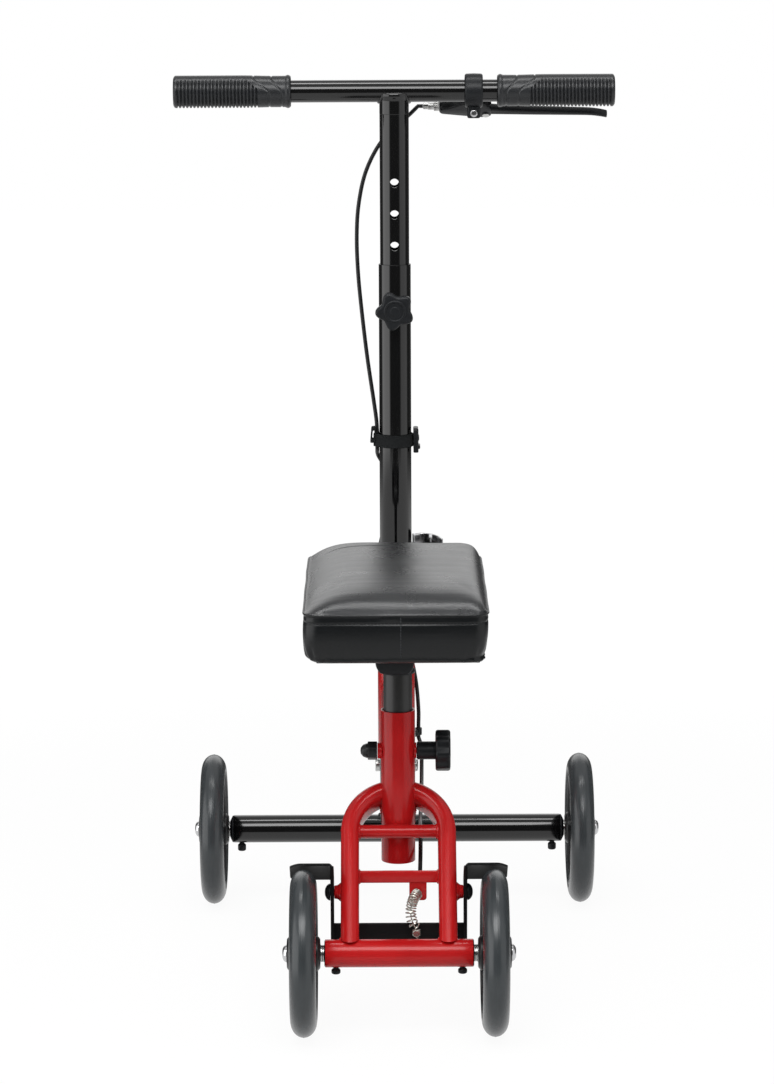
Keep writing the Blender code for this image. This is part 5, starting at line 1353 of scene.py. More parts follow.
# %% Strap, loop and slider
def hull(extra, steps=96):
    """The line of a band pulled round the column and the cable, extra metres away."""
    circles = [(0.0, column_radius + extra), (-cable_x, cable_radius + extra)]
    points = []
    for step in range(steps):
        angle = 2 * pi * (step + 0.5) / steps
        centre, radius = max(circles, key=lambda circle: circle[0] * cos(angle) + circle[1])
        points.append((centre + radius * cos(angle), radius * sin(angle)))
    return points


strap = plate("strap_band_tape", [hull(0.0022), hull(gap)], 0.016, (0, column_y, strap_mid), X, Y, 0.0004)
outer_side, inner_side = ([point for point in hull(extra) if point[1] < 0.004 and point[0] > -0.016]
                          for extra in (0.003, 0.0019))
second = plate("overlap", [outer_side + inner_side[::-1]], 0.015,
               (0, column_y, strap_mid + 0.0004), X, Y, 0.0003)
dress(joined("strap_band_tape", strap, second), strap_tape, "column", "strap_band", sharp=60)
loop_x = -(cable_x + cable_radius + 0.0012)
loop = plate("strap_loop", [
    eased([(-0.0052, -0.0035), (0.0018, -0.0035), (0.0022, 0.017), (-0.0036, 0.0165)], 0.0018, 4,
          closed=True),
    eased([(-0.0026, 0.002), (-0.0002, 0.002), (0.0002, 0.012), (-0.0018, 0.0118)], 0.0008, 3, closed=True),
], 0.0105, (loop_x, column_y, strap_mid), X, Z, 0.0008)
dress(loop, strap_tape, "column", "strap_band", sharp=60)
buckle_x = lowest("strap_buckle").x
slider = []
for start, end, thick in ((0.0, 0.0052, 0.0145), (-0.0105, -0.0065, 0.017), (0.0115, 0.0155, 0.012)):
    slider.append(brick("slider", (buckle_x, column_y - 0.0095, strap_mid + start - 0.0003),
                        (buckle_x + thick / 2, column_y + 0.0095, strap_mid + end), 0.0012))
rail_rear, rail_front = (
    brick("rail", (buckle_x, column_y + rear, strap_mid + low),
          (buckle_x + thick, column_y + front, strap_mid + high), 0.0014)
    for rear, front, low, high, thick in ((-0.0105, -0.006, -0.0155, 0.0145, 0.0064),
                                          (0.006, 0.0105, -0.0135, 0.0155, 0.0058)))
dress(joined("strap_slider", rail_rear, rail_front, *slider), knob_plastic, "column", "strap_buckle")

# %% [markdown]
# ## Star knob
# A five-lobed knob screws into the boss at the back of the column and holds the bar's height.
# Its outline is a circle with five waves. A raised ring and a cap mark its middle.

# %% Star knob
def lobed(radius, wave, lobes, turn, steps=160):
    """A round outline with soft lobes."""
    points = []
    for step in range(steps):
        angle = 2 * pi * step / steps
        size = radius * (1 - wave + wave * cos(lobes * (angle - turn)))
        points.append((size * cos(angle), size * sin(angle)))
    return points


neck_end = boss_face - gap - 0.003
star_turn = radians(114.4)
star = plate("star_body", [lobed(0.0245, 0.125, 5, star_turn)], 0.014,
             (0, neck_end - 0.0065, star_z), X, Z, 0.0034)
star_neck = bar("neck", (0, boss_face - gap, star_z), (0, neck_end - 0.004, star_z), 0.0095, 56, 0.0006)
star_face = neck_end - 0.0135
star_ring = turned_ring("ring", [
    (0.0128, 0.0012), (0.0138, 0.0006), (0.0142, -0.001), (0.0104, -0.001), (0.0106, 0.0006),
    (0.0114, 0.0012),
], (0, star_face, star_z), -Y, 64, 0.0004, 2)
star_cap = lathe("cap", [(0.0, 0.0006), (0.0052, 0.0005), (0.0062, -0.0002), (0.0064, -0.001), (0.0, -0.001)],
                 (0, star_face, star_z), -Y, 56, 0.0004)
star_screw = bar("screw", (0, boss_face, star_z), (0, column_y - column_radius, star_z), 0.0039, 40)
star_piece = joined("star_knob_lobed", star, star_neck, star_ring, star_cap, star_screw)
dress(star_piece, knob_plastic, "star_knob", "star_knob", sharp=40)
print("star knob face at", round(star_face, 4))

# %% [markdown]
# ## Handlebar
# The handlebar and the inner tube are one weldment. The inner tube slides in the column and has
# a row of holes for the knob's screw. Its top widens a little under the bar, and a short weld
# holds it there on each side.

# %% Inner tube with its holes
inner_radius = stub_radius
inner_low = lowest("handlebar").z
bar_radius = highest("handlebar").z - bar_z
hole_pitch = 0.039
hole_radius = 0.0056


inner = pipe("inner_tube", inner_radius, slim_wall, inner_low, bar_z - 0.004, column_foot, Z, 96)
drills = []
for pitch in range(-1, 5):
    drill_z = star_z + pitch * hole_pitch
    drills.append(bar("drill", (0, column_y - 0.04, drill_z), (0, column_y + 0.04, drill_z), hole_radius, 40))
bar_piece(carved(inner, *drills), 30)
flare = lathe("bar_saddle", [
    (inner_radius - 0.001, bar_z - 0.03), (inner_radius + 0.0001, bar_z - 0.028),
    (inner_radius + 0.0001, bar_z - 0.01),
    (inner_radius + 0.0022, bar_z - 0.0055), (inner_radius + 0.001, bar_z - 0.001), (0.0, bar_z - 0.001),
], column_foot, Z, 96, 0.003, 6)
bar_piece(flare)
bar_half = highest("grip_right").x - 0.0033
bar_piece(bar("handlebar_tube", (-bar_half, column_y, bar_z),
              (bar_half, column_y, bar_z), bar_radius, 72, 0.001))


saddle_skin = skin_lines((0, column_y, bar_z - 0.03), (0, column_y, bar_z), inner_radius + 0.0008, 72)
saddle_line = crossing(saddle_skin, from_axis((0, column_y, bar_z), X, bar_radius))
for half, word in hands:
    end_line = sorted((p for p in saddle_line if p.x * half > 0.004), key=lambda p: p.y)
    lumps = [1.0 + 0.3 * noise.noise(p * 300.0) for p in end_line]
    bar_piece(tube("weld_saddle_" + word, end_line, 0.0019, 4, sizes=lumps), 80)
print("inner tube from", round(inner_low, 4))

# %% [markdown]
# ## Grips
# Each grip is a rubber sleeve with a flange and a smooth rest at its inner end, where two
# shallow grooves curve round it. The outer part has rounded ribs that run round it and leave a
# smooth strip on top. The surface is one grid of points whose radius follows the shape less
# the grooves.

# %% Grips
grip_inner = lowest("grip_right").x
grip_outer = highest("grip_right").x
grip_radius = 0.0204
rib_pitch = 0.0044
rib_depth = 0.0023
curve_depth = 0.001


def smooth_step(low, high, value):
    """0 below low, 1 above high."""
    share = min(1.0, max(0.0, (value - low) / (high - low)))
    return share * share * (3 - 2 * share)


def grip_body_radius(along):
    """The radius of the smooth shape at a distance from the inner end."""
    if along < 0.0035:
        return grip_radius - 0.002 * (1 - along / 0.0035) ** 2
    waist = smooth_step(0.0035, 0.0075, along) * (1 - 0.6 * smooth_step(0.02, 0.06, along))
    return grip_radius - 0.0012 * waist


def make_grip(name, side):
    """One grip, closed at its outer end."""
    length = grip_outer - grip_inner
    sides = 96
    spots = [length * step / 400 for step in range(401)]
    verts = []
    for along in spots:
        base = grip_body_radius(along)
        if along > length - 0.003:
            base -= 0.003 * ((along - length + 0.003) / 0.003) ** 2.2
        for index in range(sides):
            angle = 2 * pi * index / sides
            ribbed = 1 - smooth_step(0.66, 0.8, cos(angle))
            groove = 0.0
            if 0.0405 + 0.012 * smooth_step(0.15, 0.75, cos(angle)) < along < length - 0.005:
                phase = (along - 0.052) / rib_pitch % 1.0
                cut = smooth_step(0.3, 0.62, phase) * (1 - smooth_step(0.68, 1.0, phase))
                groove = rib_depth * cut * ribbed
            for arc_start, climb in ((0.011, 0.013), (0.026, 0.02)):
                curve_at = arc_start + climb * smooth_step(-0.1, 0.95, cos(angle))
                groove += curve_depth * exp(-((along - curve_at) / 0.0009) ** 2)
            radius = base - groove
            verts.append((side * (grip_inner + along),
                          column_y + radius * sin(angle), bar_z + radius * cos(angle)))
    faces = grid_faces(len(spots) - 1, sides)
    start = len(verts)
    faces.append(tuple(range(start - sides, start)))
    verts += [(side * grip_inner, column_y + y, bar_z + z) for z, y in arc(bar_radius + gap, sides)]
    for index in range(sides):
        after = (index + 1) % sides
        faces.append((start + index, start + after, after, index))
    if side > 0:
        faces = [face[::-1] for face in faces]
    made = to_scene(name + "_rubber", verts, faces)
    return dress(made, grip_rubber, "handlebar", name, sharp=60)


make_grip("grip_left", -1)
make_grip("grip_right", 1)
print("grips", round((grip_outer - grip_inner) * 1000), "mm long")

# %% [markdown]
# ## Brake lever
# The lever works in a plane tilted below the bar. Its perch is a split band round the bar with
# a tapered body; the lever turns in a slot in it, and the cable leaves through a knurled
# adjuster with a lock nut. The lever itself is a cast blade whose end turns away a little.

# %% Lever plane and perch
lever_tilt = radians(32)
away = Vector((0, cos(lever_tilt), -sin(lever_tilt)))
lever_normal = X.cross(away)


def in_lever_plane(x, offset, lift=0.0):
    """A point from its place along the bar, its distance from the bar and its lift."""
    return Vector((x, column_y, bar_z)) + away * offset + lever_normal * lift


pivot_x = joint_place("brake_lever").x
pivot_offset = 0.047
cable_offset = 0.04
band_in_x = 0.087
band_out_x = 0.109
perch_in_x = highest("barrel_adjuster").x + gap
perch_out_x = 0.121
band = turned_ring("band", [
    (0.0208, 0.0015), (0.0212, 0.011), (0.0208, 0.0205), (0.0196, 0.022), (0.0138, 0.022), (0.0138, 0.0),
    (0.0196, 0.0),
], (band_in_x, column_y, bar_z), X, 80, 0.0012, 4)
body = plate("body", [eased([
    (perch_in_x, cable_offset - 0.0062), (0.072, 0.029), (band_in_x + 0.001, 0.0165),
    (band_out_x - 0.001, 0.0165), (perch_out_x, pivot_offset - 0.009), (perch_out_x, pivot_offset + 0.007),
    (pivot_x - 0.004, pivot_offset + 0.0095), (0.08, 0.051), (perch_in_x, cable_offset + 0.0062),
], 0.006, 5, closed=True)], 0.017, in_lever_plane(0, 0), X, away, 0.0028)
slot_outline = [(pivot_x - 0.014, cable_offset - 0.006), (pivot_x - 0.009, pivot_offset - 0.012),
                (perch_out_x + 0.01, pivot_offset - 0.02), (perch_out_x + 0.01, pivot_offset + 0.02),
                (pivot_x - 0.014, pivot_offset + 0.02)]
body = carved(body, plate("slot", [slot_outline], 0.0104, in_lever_plane(0, 0), X, away, 0.0003))
snout = lathe("snout", [(0.0052, 0.0), (0.0068, 0.0), (0.0076, 0.006), (0.008, 0.02), (0.0, 0.02),
                        (0.0, 0.002), (0.0052, 0.002)],
              in_lever_plane(perch_in_x, cable_offset), X, 56, 0.0008)
clamp_ear = brick("ear", (band_in_x + 0.003, column_y - 0.008, bar_z - 0.0335),
                  (band_out_x - 0.003, column_y + 0.004, bar_z - 0.0155), 0.0022)
split = brick("split", (band_in_x - 0.001, column_y - 0.0026, bar_z - 0.036),
              (band_out_x + 0.001, column_y - 0.0016, bar_z - 0.012), 0.0002, 1)
clamp_ear = carved(clamp_ear, split)
perch = joined("lever_perch", band, body, snout, clamp_ear)
dress(perch, knob_plastic, "handlebar", "brake_perch", sharp=40)

# %% Perch screw, pin and adjuster
screw_place = Vector(((band_in_x + band_out_x) / 2, column_y - 0.008 - gap, bar_z - 0.027))
clamp_screw = lathe("clamp_screw_head", [
    (0.0, 0.0042), (0.0036, 0.004), (0.0046, 0.0028), (0.0047, 0.0), (0.0023, 0.0), (0.0023, -0.006),
    (0.0, -0.006),
], screw_place, -Y, 48, 0.0005)
hexagon = turned("hexagon", [(0, 0.006), (0.0022, 0.006), (0.0022, 0.0018), (0, 0.0018)], screw_place, -Y, 6)
dress(carved(clamp_screw, hexagon), chrome, "handlebar", "clamp_screw")
pin_face = 0.0085 + gap
lever_pin = lathe("lever_pin_headed", [
    (0.0, pin_face + 0.002), (0.0042, pin_face + 0.0018), (0.0052, pin_face + 0.0009), (0.0052, pin_face),
    (0.0029, pin_face), (0.0029, -pin_face), (0.0045, -pin_face), (0.0045, -pin_face - 0.0015),
    (0.0, -pin_face - 0.002),
], in_lever_plane(pivot_x, pivot_offset), lever_normal, 48, 0.0004)
dress(lever_pin, zinc, "handlebar", "lever_pin")


def knurled(radius, ridges, depth, steps=6):
    """A round outline with small ridges."""
    points = []
    for step in range(ridges * steps):
        angle = 2 * pi * step / (ridges * steps)
        size = radius - depth * (0.5 + 0.5 * cos(ridges * angle))
        points.append((size * cos(angle), size * sin(angle)))
    return points


nut_face = perch_in_x - gap
lock_nut = plate("lock_nut", [knurled(0.006, 18, 0.0006)], 0.0062,
                 in_lever_plane(nut_face - 0.0032, cable_offset), away, lever_normal, 0.0005)
sleeve = plate("sleeve", [knurled(0.0045, 14, 0.0004)], 0.007,
               in_lever_plane(nut_face - 0.0065 - 0.0036, cable_offset), away, lever_normal, 0.0005)
tip_low = nut_face - 0.0195
nose = bar("nose", in_lever_plane(tip_low, cable_offset), in_lever_plane(nut_face - 0.0095, cable_offset),
           0.004, 48, 0.0008)
dress(joined("cable_adjuster", lock_nut, sleeve, nose), zinc, "handlebar", "barrel_adjuster", sharp=50)

# %% Lever blade
lever_tip_x = highest("brake_lever").x
reach = lever_tip_x - pivot_x
inner_line = [(0.01, -0.0055), (0.022, -0.0035), (0.06, 0.0), (0.1, 0.003), (0.128, 0.005), (0.142, 0.0085),
              (reach, 0.0125)]
front_line = [(0.006, 0.008), (0.022, 0.0085), (0.06, 0.01), (0.1, 0.011), (0.128, 0.012), (0.142, 0.015),
              (reach, 0.0185)]
near_edge = [point.xy for point in smooth_route([(pivot_x + x, pivot_offset + o, 0) for x, o in inner_line],
                                                0.003)]
far_edge = [point.xy for point in smooth_route([(pivot_x + x, pivot_offset + o, 0) for x, o in front_line],
                                               0.003)]
eye = arc(0.0074, 16, (pivot_x, pivot_offset), radians(75), radians(230), closed=False)
blade_outline = near_edge + far_edge[::-1] + eye
lever_blade = plate("brake_lever_blade", [blade_outline, arc(0.0034, 32, (pivot_x, pivot_offset))], 0.0094,
                    in_lever_plane(0, 0), X, away, 0.0024)
dress(lever_blade, knob_plastic, "brake_lever", "brake_lever", sharp=40)
print("lever reaches", round(lever_tip_x, 3))

# %% [markdown]
# ## Seat
# The seat post slides in the seat tube and carries a moulded socket under a thin board. The
# socket is a block whose lower corners are rounded, with a collar round the post.

# %% Post, socket and board
post_low, post_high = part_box("seat_post")
post_radius = post_high.x
post = pipe("seat_post_tube", post_radius, slim_wall, post_low.z, post_high.z, seat_foot, Z, 80, 0.0005)
groove = brick("groove", (-post_radius - 0.004, seat_y - 0.0031, clamp_z - 0.0484),
               (-post_radius + 0.0035, seat_y + 0.0031, clamp_z + 0.0434), 0.001, 2)
dress(carved(post, groove), post_black, "seat", "seat_post")
socket_low, socket_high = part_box("seat_socket")
socket_tall = socket_high.z - socket_low.z
half_wide = (socket_high.x - socket_low.x) / 2
socket_outline = eased([
    (-half_wide, socket_tall), (-half_wide, 0.0115), (-half_wide + 0.0055, 0.0025),
    (half_wide - 0.0055, 0.0025), (half_wide, 0.0115), (half_wide, socket_tall),
], 0.0042, 6)
socket_block = plate("socket", [socket_outline], socket_high.y - socket_low.y,
                     ((socket_low.x + socket_high.x) / 2, seat_y, socket_low.z), -X, Z, 0.0022)
bore = bar("bore", (0, seat_y, socket_low.z - 0.01), (0, seat_y, socket_low.z + 0.012),
           post_radius + 0.0004, 64)
socket_block = carved(socket_block, bore)
socket_rim = turned_ring("rim", [
    (post_radius + 0.0003, 0.0003), (post_radius + 0.0036, 0.0003), (post_radius + 0.0036, 0.004),
    (post_radius + 0.0003, 0.004),
], (0, seat_y, socket_low.z - 0.0001), Z, 80, 0.0006, 2)
dress(joined("seat_socket_moulding", socket_block, socket_rim), knob_plastic, "seat", "seat_socket", sharp=40)
board_low, board_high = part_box("seat_board")
board = brick("seat_base_board", board_low, board_high, 0.0014)
dress(board, board_black, "seat", "seat_board")

# %% [markdown]
# ## Knee pad
# The pad is foam under a sewn vinyl cover. Its plan is a rounded rectangle; the top is crowned
# and falls faster at the left than at the right. A seam runs round the upper edge, and the cover
# wraps under the board. Cloth pressure fills the sides and the top a little, then the seam, the
# puckers and the tension folds are moved into the surface.

# %% Pad shape
pad_low, pad_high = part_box("seat_cushion")
pad_middle = (pad_low + pad_high) / 2
pad_half_x = (pad_high.x - pad_low.x) / 2
pad_half_y = (pad_high.y - pad_low.y) / 2
seam_z = 0.492
crown = 0.0215
pad_shift = -0.0022
pad_lean = 0.0016
pad_corner = 0.019
stitch_drop = 0.009
pad_foot = board_high.z + 0.0018


def rounded_plan(inset, count):
    """Evenly spaced points round the pad's plan, from the middle of its back edge."""
    half_x = pad_half_x - inset
    half_y = pad_half_y - inset
    corner = max(0.004, pad_corner - inset)
    line = [Vector((0, -half_y))]
    for sign_x, sign_y, start in ((1, -1, -90), (1, 1, 0), (-1, 1, 90), (-1, -1, 180)):
        centre = Vector((sign_x * (half_x - corner), sign_y * (half_y - corner)))
        for step in range(13):
            angle = radians(start + 90 * step / 12)
            line.append(centre + corner * Vector((cos(angle), sin(angle))))
    line.append(Vector((0, -half_y)))
    lengths = [0.0]
    for first, second in zip(line, line[1:]):
        lengths.append(lengths[-1] + (second - first).length)
    points = []
    index = 0
    for step in range(count):
        target = lengths[-1] * step / count
        while lengths[index + 1] < target:
            index += 1
        share = (target - lengths[index]) / (lengths[index + 1] - lengths[index])
        points.append(line[index].lerp(line[index + 1], share))
    return points


def crown_height(point, edge_x, edge_y):
    """How far the top stands over the seam at a point of the plan."""
    u = min(1.0, abs(point.x) / edge_x)
    v = min(1.0, abs(point.y) / edge_y)
    sides = 1 - u ** (5.5 if point.x < 0 else 18.0)
    sag = 1 - (0.4 * v ** 4 if point.y < 0 else 0.0)
    return crown * sides * sag * (1 - v ** (20.0 if point.y < 0 else 22.0))


def pad_shell(shrink, rows, rings, count):
    """The closed form of the pad: a margin under the board, sides and crowned top."""
    layers = []
    under = board_low.z - 0.0006
    for scale in (0.15, 0.4, 0.7):
        layers.append([(point * scale, board_high.z + 0.0003) for point in rounded_plan(0.0127, count)])
    for inset, z in ((0.0127, board_high.z + 0.0003), (0.0127, board_low.z - 0.0001),
                     (0.024, board_low.z - 0.0001),
                     (0.024, under), (0.012, under), (0.005, (under + pad_foot) / 2)):
        layers.append([(point, z) for point in rounded_plan(inset, count)])
    plan = rounded_plan(shrink, count)
    for row in range(rows + 1):
        share = row / rows
        bulge = 0.0012 * sin(pi * share) - 0.003 * (1 - share) ** 4
        layers.append([(point * (1 + bulge / pad_half_x), pad_foot + (seam_z - pad_foot) * share)
                       for point in plan])
    edge_x = pad_half_x - shrink
    edge_y = pad_half_y - shrink
    for ring in range(1, rings + 1):
        scale = 1 - (ring / (rings + 1)) ** 1.7
        layers.append([(point * scale, seam_z + crown_height(point * scale, edge_x, edge_y))
                       for point in plan])
    verts = []
    for layer in layers:
        for point, z in layer:
            risen = min(1.0, max(0.0, (z - pad_foot) / (seam_z - pad_foot)))
            sideways = (pad_shift - pad_lean * (1 - risen)) * smooth_step(board_high.z, pad_foot, z)
            verts.append((point.x + sideways, pad_middle.y + point.y, z))
    faces = grid_faces(len(layers) - 1, count)
    verts.append((0, pad_middle.y, board_high.z + 0.0003))
    verts.append((pad_shift, pad_middle.y, seam_z + crown))
    last = (len(layers) - 1) * count
    for index in range(count):
        after = (index + 1) % count
        faces.append((after, index, len(verts) - 2))
        faces.append((last + index, last + after, len(verts) - 1))
    return to_scene("knee_pad_cover", verts, faces)


# %% Filling the pad with cloth pressure
def inflated(made, pressure, cap):
    """Blows a shell up a little as cloth, then evens out how far each point moves and caps it."""
    rest = [vert.co.copy() for vert in made.data.vertices]
    pins = made.vertex_groups.new(name="pins")
    held = [v.index for v in made.data.vertices if v.co.z < pad_foot + 0.001 or abs(v.co.z - seam_z) < 0.0005]
    pins.add(held, 1.0, "REPLACE")
    cloth = made.modifiers.new("cloth", "CLOTH")
    cloth.settings.use_pressure = True
    cloth.settings.uniform_pressure_force = pressure
    cloth.settings.effector_weights.gravity = 0
    cloth.settings.vertex_group_mass = "pins"
    cloth.settings.quality = 5
    cloth.point_cache.frame_start = 1
    cloth.point_cache.frame_end = 20
    for step in range(1, 21):
        bpy.context.scene.frame_set(step)
    apply_all(made)
    bpy.context.scene.frame_set(1)
    moves = [vert.co - before for vert, before in zip(made.data.vertices, rest)]
    moves = [move.normalized() * min(move.length, cap) for move in moves]
    around = [[] for _ in moves]
    for edge in made.data.edges:
        first, second = edge.vertices
        around[first].append(second)
        around[second].append(first)
    for _ in range(12):
        moves = [(move + sum((moves[other] for other in near), Vector())) / (1 + len(near))
                 for move, near in zip(moves, around)]
    for vert, before, move in zip(made.data.vertices, rest, moves):
        vert.co = before + move
    made.vertex_groups.clear()
    return made


pad = pad_shell(0.0012, 14, 26, 160)
pad = inflated(pad, 2.0, 0.0014)
refine = pad.modifiers.new("refine", "SUBSURF")
refine.levels = 2
refine.render_levels = refine.levels
apply_all(pad)
print("pad points", len(pad.data.vertices))


# %% Seams, puckers and folds
def around_pad(place):
    """The distance along the pad's edge, from the middle of its back, of the nearest edge point."""
    x = place.x
    y = place.y - pad_middle.y
    edge_x = pad_half_x - abs(x)
    edge_y = pad_half_y - abs(y)
    return (x if edge_y < edge_x else y) + (0.4 if edge_y >= edge_x else 0.0)


def in_corner(place):
    """How near a place is to one of the pad's upright corners, from 0 to 1."""
    dx = pad_half_x - abs(place.x)
    dy = pad_half_y - abs(place.y - pad_middle.y)
    return max(0.0, 1 - hypot(dx, dy) / 0.05)


for vert in pad.data.vertices:
    place = vert.co
    outward = Vector((place.x / pad_half_x ** 2, (place.y - pad_middle.y) / pad_half_y ** 2, 0)).normalized()
    edge = min(pad_half_x - abs(place.x), pad_half_y - abs(place.y - pad_middle.y))
    move = Vector((0, 0, 0))
    on_side = 1 - smooth_step(0.005, 0.01, edge)
    along = around_pad(place)
    if on_side > 0 and place.z < seam_z + 0.004:
        seam = exp(-((place.z - seam_z) / 0.0016) ** 2)
        stitch = exp(-((place.z - seam_z + stitch_drop) / 0.0012) ** 2)
        pucker = exp(-((place.z - seam_z + 0.0045) / 0.004) ** 2) * 0.00022
        pucker *= sin(along * 2 * pi / 0.011)
        flap = 0.001 * exp(-((place.x + 0.008) / 0.013) ** 4) * (place.y < pad_middle.y)
        flap *= exp(-((place.z - seam_z + 0.003) / 0.0028) ** 2)
        move += outward * (0.001 * seam - 0.001 * stitch + pucker + flap) * on_side
        low_share = 1 - smooth_step(0.0, 0.022, place.z - pad_foot)
        gather = noise.noise(Vector((along * 62, place.z * 22, 1.7)))
        corner_folds = 0.0018 * in_corner(place) * low_share * sin(along * 2 * pi / 0.0135)
        move += outward * (0.001 * gather * low_share + corner_folds) * on_side
        hem = gather + in_corner(place) * sin(along * 2 * pi / 0.016 + 1.0)
        move += Z * 0.0016 * low_share * hem * on_side
        move += outward * 0.0005 * noise.noise(Vector((along * 16, place.z * 34, 5.1))) * on_side
    if place.z > seam_z - 0.002:
        inward = smooth_step(0.006, 0.034, edge)
        crease = noise.noise(Vector((place.x * 6, place.y * 60, 2.3)))
        swell = noise.noise(Vector((place.x * 8, place.y * 12, 8.8)))
        line = exp(-((place.y - 0.0005 - 0.05 * place.x) / 0.0016) ** 2)
        line *= smooth_step(0.0, 0.02, -place.x)
        move += Z * (0.00025 * crease + 0.0005 * swell - 0.0008 * line) * inward
        gather_edge = exp(-((edge - 0.008) / 0.006) ** 2)
        move += Z * 0.0004 * gather_edge * noise.noise(Vector((along * 95, edge * 30, 3.9)))
    vert.co = place + move

dress(pad, pad_vinyl, "seat", "seat_cushion", sharp=180)
# Faces below the seam take the side copy of the vinyl, whose darker colour is painted shade.
painted_shade_slot = len(pad.data.materials)
pad.data.materials.append(side_vinyl_painted_darker)
for face in pad.data.polygons:
    if face.center.z < seam_z + 0.001:
        face.material_index = painted_shade_slot

# %% [markdown]
# The welt is a thin cord of vinyl sewn into the upper seam. Stitches sit in the line below it,
# and an upright row of stitches closes the band at the middle of the back.

# %% Welt and stitches
def on_pad_side(point, z, proud):
    """The nearest point of the pad's side to a plan point, at a height."""
    origin = Vector((point.x * 1.4, pad_middle.y + point.y * 1.4, z))
    aim = Vector((-point.x, -point.y, 0)).normalized()
    hit, place, normal, _ = pad.ray_cast(origin, aim)
    return place + normal * proud if hit else Vector((point.x, pad_middle.y + point.y, z))


bpy.context.view_layer.update()
welt_plan = rounded_plan(0.0, 300)
welt_line = [on_pad_side(point, seam_z, 0.0001) for point in welt_plan]
welt = tube("knee_pad_welt", welt_line, 0.0011, 4, closed=True)
# The welt takes the side copy of the vinyl, with its painted shade.
dress(welt, side_vinyl_painted_darker, "seat", "seat_cushion", sharp=180)
stitch_plan = rounded_plan(0.0, 540)
stitch_line = [on_pad_side(point, seam_z - stitch_drop, 0.0001) for point in stitch_plan]
stitches = []
for index in range(0, len(stitch_line) - 1, 2):
    start = stitch_line[index].lerp(stitch_line[index + 1], 0.1)
    end = stitch_line[index].lerp(stitch_line[index + 1], 0.95)
    stitches.append(tube("stitch", [start, start.lerp(end, 0.5), end], 0.00032, 1, sizes=[0.6, 1.0, 0.6]))
dress(joined("knee_pad_stitches", stitches[0], *stitches[1:]), thread, "seat", "seat_cushion", sharp=80)
back_seam = [on_pad_side(Vector((0.003, -pad_half_y)), pad_foot + 0.001 + step * 0.0008, 0.0002)
             for step in range(60)]
dots = [1.0 if step % 4 < 2 else 0.35 for step in range(60)]
dress(tube("knee_pad_back_seam", back_seam, 0.0007, 3, sizes=dots), thread, "seat", "seat_cushion", sharp=180)
print("stitches", len(stitches))

# %% [markdown]
# ## Seat clamp
# A lobed knob at the right of the seat tube presses on the post. On the left a domed nut holds
# the guide pin that runs in the post's groove.

# %% Clamp knob and guide nut
knob_face = highest("seat_knob").x
knob_root = seat_tube_radius + boss_right_height + gap
head_depth = 0.0172
clamp_stem = 0.0105
clamp_head = plate("head", [lobed(0.0243, 0.045, 8, 0.0, 200)], head_depth,
                   (knob_face - head_depth / 2, seat_y, clamp_z), Y, Z, 0.0026)
stem_piece = lathe("stem", [
    (0.0, 0.0), (clamp_stem - 0.0015, 0.0), (clamp_stem, 0.0012), (clamp_stem, 0.024), (0.0, 0.024),
], (knob_root, seat_y, clamp_z), X, 64, 0.0006)
clamp_cap = lathe("cap", [(0.0, 0.0004), (0.0095, 0.0001), (0.011, -0.0012), (0.0, -0.0012)],
                  (knob_face, seat_y, clamp_z), X, 56, 0.0005)
clamp_screw = bar("screw", (post_radius + gap, seat_y, clamp_z),
                  (knob_root + 0.004, seat_y, clamp_z), 0.0038, 32)
dress(joined("seat_clamp_knob", clamp_head, stem_piece, clamp_cap, clamp_screw), knob_plastic, "seat_knob",
      "seat_knob", sharp=40)
nut_tip = -lowest("seat_guide_nut").x
nut_root = seat_tube_radius + boss_left_height + gap
hexagon = plate("hexagon", [eased(arc(0.0112, 6, (0, 0), pi / 6), 0.0008, 2, closed=True)], 0.011,
                (-nut_root - 0.0055, seat_y, clamp_z), Y, Z, 0.0009)
dome = lathe("dome", [
    (0.0, nut_tip), (0.0035, nut_tip - 0.0004), (0.007, nut_tip - 0.0032), (0.0086, nut_tip - 0.0075),
    (0.009, nut_root + 0.006), (0.0, nut_root + 0.006),
], (0, seat_y, clamp_z), -X, 56, 0.0008, 4)
dress(joined("seat_guide_domed_nut", hexagon, dome), hub_plastic, "frame", "seat_guide_nut", sharp=40)
print("clamp knob face", round(knob_face, 4))

# %% [markdown]
# ## Rear brake
# The brake is one black bracket across both legs: a channel with two cheeks that pivot on the
# bosses, and two curved plates that follow the tyres. It is bent from flat plate, so it is made
# as plates with rounded edges.

# %% Brake bracket
arm_inner = 0.0743
bracket_plate = 0.004
arm_outer = arm_inner + bracket_plate
bracket_y = rear_axle.y + 0.0495
bracket_low = 0.0965
shoe_inner = wheel_radius + 0.0038
shoe_outer = shoe_inner + 0.003
shoe_start = radians(13)
shoe_end = radians(49)
shoe_x = 0.125


def round_tyre(radius, turn):
    """A point over the rear tyres, at a turn forward from straight up."""
    return Vector((rear_axle.y + radius * sin(turn), rear_axle.z + radius * cos(turn)))


